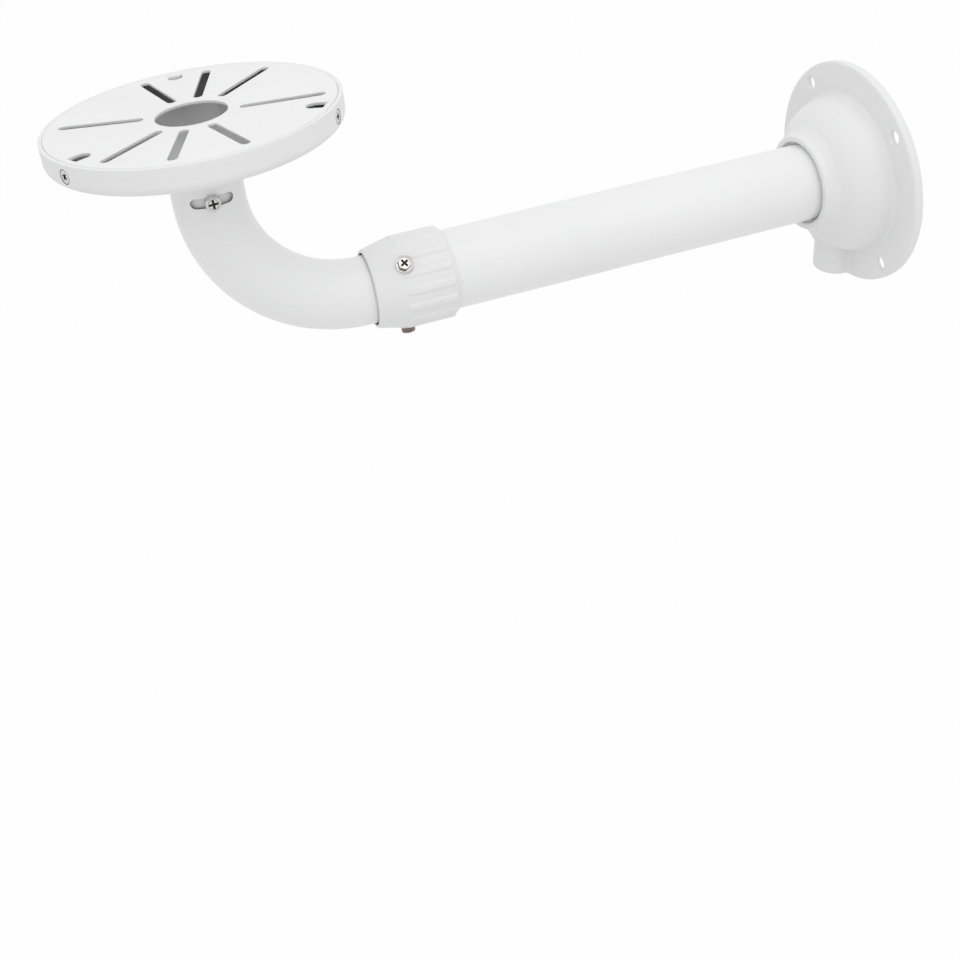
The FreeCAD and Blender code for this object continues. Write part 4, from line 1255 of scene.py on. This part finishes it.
def hex_shape(size):
    """A six-sided head on its washer."""
    base, corner = size.washer_thickness, size.hex_width / math.sqrt(3)
    top = base + size.hex_height
    foot, crown, crown_rise, crown_drop = 0.1 * MM, 0.8 * MM, 0.72 * MM, 0.55 * MM
    head = softened([
        (0, size.collar_shank),
        (0, size.washer, 0.25 * MM),
        (base, size.washer - 0.15 * MM, 0.25 * MM),
        (base + 0.05 * MM, corner + 0.1 * MM),
    ], steps=4)[1:]
    side, steps = top - base - foot - crown, 6
    head += [(base + foot + side * k / steps, corner) for k in range(steps + 1)]
    for k in range(1, steps + 1):
        head.append((top - crown + crown_rise * k / steps, corner - crown_drop * (k / steps) ** 1.6))
    head += [(top, size.hex_width / 2 - 0.25 * MM), (top, size.hex_width / 4)]
    return size.collar_shank, -size.collar_length, 0.0, head, top, hexagon(size.hex_width, base + 0.09 * MM)


def countersunk_shape(size):
    """A flat head on its cone."""
    rim, land = size.rim_head, size.land
    cone = land + rim - size.shank
    head = [
        (-cone, size.shank),
        (-land, rim - 0.02 * MM),
        (-land * 0.5, rim),
        (-0.05 * MM, rim - 0.03 * MM),
        (0, rim - 0.12 * MM),
        (0, rim / 2),
    ]
    return size.shank, -size.rim_length, -cone, head, 0.0, thread(size.pitch, -size.rim_length, -cone)


def pan_shape(size):
    """A round head with a soft top."""
    top = size.pan_side + size.pan_round
    head = softened([
        (0, size.shank),
        (0, size.head, 0.2 * MM),
        (top, size.head, size.pan_round),
        (top, 0.5 * MM),
    ], steps=8)[1:]
    return size.shank, -size.swivel_length, 0.0, head, top, thread(size.pitch, -size.swivel_length, 0.0)


# each kind of screw: its shape, the steps round it, and the width of its recess as a share of the full one
SCREW_KINDS = {
    "hex": (hex_shape, 96, 1.0),
    "countersunk": (countersunk_shape, 64, 0.72),
    "pan": (pan_shape, 64, 1.0),
}


def make_screw(name, size, kind):
    """A master screw along Z with its head outward and its seat at z = 0."""
    shape, steps, recess = SCREW_KINDS[kind]
    shank, tip, start, head, top, rule = shape(size)
    tip_share, tip_length, below_head, steps_per_turn = 0.7, 0.4 * MM, 0.01 * MM, 8
    profile = [
        (tip, 0.0),
        (tip, shank * tip_share),
        *shank_line(shank, tip + tip_length, start - below_head, size.pitch / steps_per_turn),
        *head,
        (top, 0.0),
    ]
    screw = solid(name, *swept(profile, steps, on_z, rule))
    cross_cut(screw, top, size, size.recess_reach * recess)

    # the hex heads' upright sides are marked for a painted dark reflection
    def on_side(middle, normal):
        over_washer = middle.z > size.washer_thickness
        upright = abs(normal.z) < 0.5
        return over_washer and upright and middle.xy.length > size.hex_width * 0.45

    if kind == "hex":
        mark_faces(screw, "side", on_side)
    return screw


def place_screws(name, kind, body, nodes, radius, first, centre, spins, tilt=(0, 0, 0)):
    """A group of like screws as one piece. Spins are the first recess's degrees and the step to the next."""
    size = bpy.context.scene.bracket.screw
    master = make_screw(name + "_master", size, kind)
    tree = bpy.data.node_groups.get("Screws On A Circle") or ring_tree()
    ring = solid(name, [(0, 0, 0), (MM, 0, 0), (0, MM, 0)], [(0, 1, 2)])
    run_group(ring, tree, size, {
        "Screw": master,
        "Count": len(nodes),
        "Radius": radius,
        "First Angle": first,
        "Centre": centre,
        "Tilt": tilt,
        "Spin": math.radians(spins[0]),
        "Spin Step": math.radians(spins[1]),
        "Material": finish("screw_plating"),
        # the recesses take a painted shade and the hex sides a painted dark reflection
        "Recess Material": finish("recess_grime"),
        "Side Material": finish("dark_plating"),
    })
    bpy.data.objects.remove(master)
    finish_piece(ring, body, None, nodes, sharp=32)


# stage


def make_floor(settings):
    """A pale floor that is white to the camera but for a faint shadow."""
    half, shown_white = settings.floor_size / 2, 0.95
    mesh = bpy.data.meshes.new("floor")
    corners = [(half * x, half * y, 0) for x, y in ((-1, -1), (1, -1), (1, 1), (-1, 1))]
    mesh.from_pydata(corners, [], [(0, 1, 2, 3)])
    mesh.transform(Matrix.Translation((DISH_X / 2, 0, settings.floor_height)))
    floor = new_object("floor", mesh)
    material = bpy.data.materials.new("floor_paint")
    material.use_nodes = True
    w = Writer(material.node_tree)
    paint = w.nodes["Principled BSDF"]
    paint.inputs["Base Color"].default_value = (*settings.floor_colour, 1)
    paint.inputs["Roughness"].default_value = 0.9
    paint.inputs["Specular IOR Level"].default_value = 0.0
    white = w.value("ShaderNodeEmission", {"Color": (1, 1, 1, 1), "Strength": 1.0})
    mixed = w.value("ShaderNodeMixShader", {
        0: seen_directly(w) * shown_white, 1: Value(w, paint.outputs[0]), 2: white,
    })
    w.join(mixed, w.nodes["Material Output"].inputs["Surface"])
    mesh.materials.append(material)


def seen_directly(w):
    """1 for rays from the camera, off gloss and through glass."""
    rays = w.values("ShaderNodeLightPath")
    gloss = w.math("MAXIMUM", rays["Is Glossy Ray"], rays["Is Transmission Ray"])
    return w.math("MAXIMUM", rays["Is Camera Ray"], gloss)


def make_lights(settings):
    """A pale sky, white where it is seen, and one soft light high in front."""
    world = bpy.data.worlds.new("studio")
    world.use_nodes = True
    bpy.context.scene.world = world
    w = Writer(world.node_tree)
    w.nodes.clear()
    place = w.values("ShaderNodeTexCoord")["Generated"]
    height = w.values("ShaderNodeSeparateXYZ", {0: place})["Z"]
    level = w.smooth_step(height, 0.0, 0.9) * (settings.sky - settings.horizon) + settings.horizon
    strength = (1.0 - level) * seen_directly(w) + level
    back = w.value("ShaderNodeBackground", {"Color": (1, 1, 1, 1), "Strength": strength})
    w.join(back, w.nodes.new("ShaderNodeOutputWorld").inputs["Surface"])

    lamp = bpy.data.lights.new("softbox", "AREA")
    lamp.shape = "SQUARE"
    lamp.size = 1.4
    lamp.energy = settings.key
    in_front, above = 0.72, 1.2
    light = new_object("softbox", lamp)
    light.location = (DISH_X / 2, -in_front, above)
    aim = Vector((DISH_X / 2, 0, 0)) - light.location
    light.rotation_euler = aim.to_track_quat("-Z", "Y").to_euler()


def make_camera():
    """The photograph's viewpoint. Its focal length and the place of its middle are in pixels."""
    azimuth, elevation, roll = (math.radians(degrees) for degrees in (-10.846, 24.639, -8.941))
    place = Vector((-412.617, -608.382, 311.61)) * MM
    frame_width, sensor_width = 960, 36
    focal_pixels, middle_across, middle_down = 1272.41, 360.145, 244.026
    back = Vector((
        math.sin(azimuth) * math.cos(elevation), -math.cos(azimuth) * math.cos(elevation), math.sin(elevation)
    ))
    level = Vector((math.cos(azimuth), math.sin(azimuth), 0))
    rising = back.cross(level)
    right = level * math.cos(roll) + rising * math.sin(roll)
    up = rising * math.cos(roll) - level * math.sin(roll)
    camera = new_object("camera", bpy.data.cameras.new("camera"))
    camera.matrix_world = Matrix((*zip(right, up, back, place), (0, 0, 0, 1)))
    camera.data.sensor_width = sensor_width
    camera.data.lens = sensor_width * focal_pixels / frame_width
    camera.data.shift_x = (frame_width / 2 - middle_across) / frame_width
    camera.data.shift_y = (middle_down - frame_width / 2) / frame_width
    camera.data.clip_start = 0.01
    bpy.context.scene.camera = camera
    bpy.context.scene.view_settings.view_transform = "Standard"


# operators


class BRACKET_OT_wall_flange(bpy.types.Operator):
    """Build the flange casting that is bolted to the wall"""
    bl_idname = "bracket.wall_flange"
    bl_label = "Wall Flange"

    def execute(self, context):
        make_flange(context.scene.bracket.flange)
        return {"FINISHED"}


class BRACKET_OT_straight_arm(bpy.types.Operator):
    """Build the straight arm tube"""
    bl_idname = "bracket.straight_arm"
    bl_label = "Straight Arm"

    def execute(self, context):
        make_arm(context.scene.bracket.tube)
        return {"FINISHED"}


class BRACKET_OT_clamp_collar(bpy.types.Operator):
    """Build the ridged collar that clamps the bent tube"""
    bl_idname = "bracket.clamp_collar"
    bl_label = "Clamp Collar"

    def execute(self, context):
        make_collar(context.scene.bracket.collar)
        return {"FINISHED"}


class BRACKET_OT_elbow(bpy.types.Operator):
    """Build the bent tube that carries the dish"""
    bl_idname = "bracket.elbow"
    bl_label = "Bent Tube"

    def execute(self, context):
        make_elbow(context.scene.bracket.tube)
        return {"FINISHED"}


class BRACKET_OT_guide_ring(bpy.types.Operator):
    """Give the split ring inside the arm its finish"""
    bl_idname = "bracket.guide_ring"
    bl_label = "Guide Ring"

    def execute(self, context):
        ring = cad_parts["guide_ring"]
        ring.data.materials.clear()
        ring.data.materials.append(finish("ring_plastic"))
        return {"FINISHED"}


class BRACKET_OT_dish_cup(bpy.types.Operator):
    """Build the cast dish"""
    bl_idname = "bracket.dish_cup"
    bl_label = "Dish"

    def execute(self, context):
        make_cup(context.scene.bracket.dish, context.scene.bracket.screw)
        return {"FINISHED"}


class BRACKET_OT_top_plate(bpy.types.Operator):
    """Build the slotted plate on top of the dish"""
    bl_idname = "bracket.top_plate"
    bl_label = "Top Plate"

    def execute(self, context):
        make_plate(context.scene.bracket.dish)
        return {"FINISHED"}


class BRACKET_OT_collar_screws(bpy.types.Operator):
    """Build the hex head screws on the collar"""
    bl_idname = "bracket.collar_screws"
    bl_label = "Collar Screws"

    def execute(self, context):
        collar = context.scene.bracket.collar
        nodes = [f"collar_screw_{k + 1}" for k in range(collar.seat_count)]
        place_screws(
            "collar_screws", "hex", "wall_arm", nodes,
            radius=collar.seat_height,
            first=collar.seat_turn + math.pi / 2,
            centre=(COLLAR_SCREW_X, 0, 0),
            spins=(30, 37),
            tilt=(0, math.pi / 2, 0),
        )
        return {"FINISHED"}


class BRACKET_OT_rim_screws(bpy.types.Operator):
    """Build the countersunk screws in the dish's rim"""
    bl_idname = "bracket.rim_screws"
    bl_label = "Rim Screws"

    def execute(self, context):
        settings = context.scene.bracket
        nodes = [f"rim_screw_{k + 1}" for k in range(settings.dish.tongue_count)]
        place_screws(
            "rim_screws", "countersunk", "head", nodes,
            radius=settings.dish.rim_radius - settings.screw.rim_sink,
            first=math.pi / 2,
            centre=(DISH_X, 0, RIM_SCREW_Z),
            spins=(30, 25),
        )
        return {"FINISHED"}


class BRACKET_OT_swivel_screws(bpy.types.Operator):
    """Build the pan head screws in the arc slots"""
    bl_idname = "bracket.swivel_screws"
    bl_label = "Swivel Screws"

    def execute(self, context):
        place_screws(
            "swivel_screws", "pan", "head", ["swivel_screw_1", "swivel_screw_2"],
            radius=context.scene.bracket.screw.swivel_reach,
            first=-math.pi / 2,
            centre=(DISH_X, 0, SWIVEL_SCREW_Z),
            spins=(3, 50),
        )
        return {"FINISHED"}


class BRACKET_OT_stage(bpy.types.Operator):
    """Set up the floor, the lights and the camera"""
    bl_idname = "bracket.stage"
    bl_label = "Studio"

    def execute(self, context):
        settings = context.scene.bracket.stage
        make_floor(settings)
        make_lights(settings)
        make_camera()
        return {"FINISHED"}


OPERATORS = (
    BRACKET_OT_stage,
    BRACKET_OT_wall_flange,
    BRACKET_OT_straight_arm,
    BRACKET_OT_clamp_collar,
    BRACKET_OT_elbow,
    BRACKET_OT_guide_ring,
    BRACKET_OT_dish_cup,
    BRACKET_OT_top_plate,
    BRACKET_OT_collar_screws,
    BRACKET_OT_rim_screws,
    BRACKET_OT_swivel_screws,
)


class BRACKET_PT_sidebar(bpy.types.Panel):
    """Lists the bracket's pieces"""
    bl_idname = "BRACKET_PT_sidebar"
    bl_label = "Wall Bracket"
    bl_space_type = "VIEW_3D"
    bl_region_type = "UI"
    bl_category = "Bracket"

    def draw(self, context):
        for operator in OPERATORS:
            self.layout.operator(operator.bl_idname)


CLASSES = (
    FlangeSizes, TubeSizes, CollarSizes, DishSizes, ScrewSizes, Finish, StageSettings, BracketSettings,
    *OPERATORS, BRACKET_PT_sidebar,
)


def register():
    for item in CLASSES:
        bpy.utils.register_class(item)
    bpy.types.Scene.bracket = PointerProperty(type=BracketSettings)


def unregister():
    del bpy.types.Scene.bracket
    for item in reversed(CLASSES):
        bpy.utils.unregister_class(item)


def main():
    register()
    for operator in OPERATORS:
        group, name = operator.bl_idname.split(".")
        getattr(getattr(bpy.ops, group), name)()


if __name__ == "__main__":
    main()
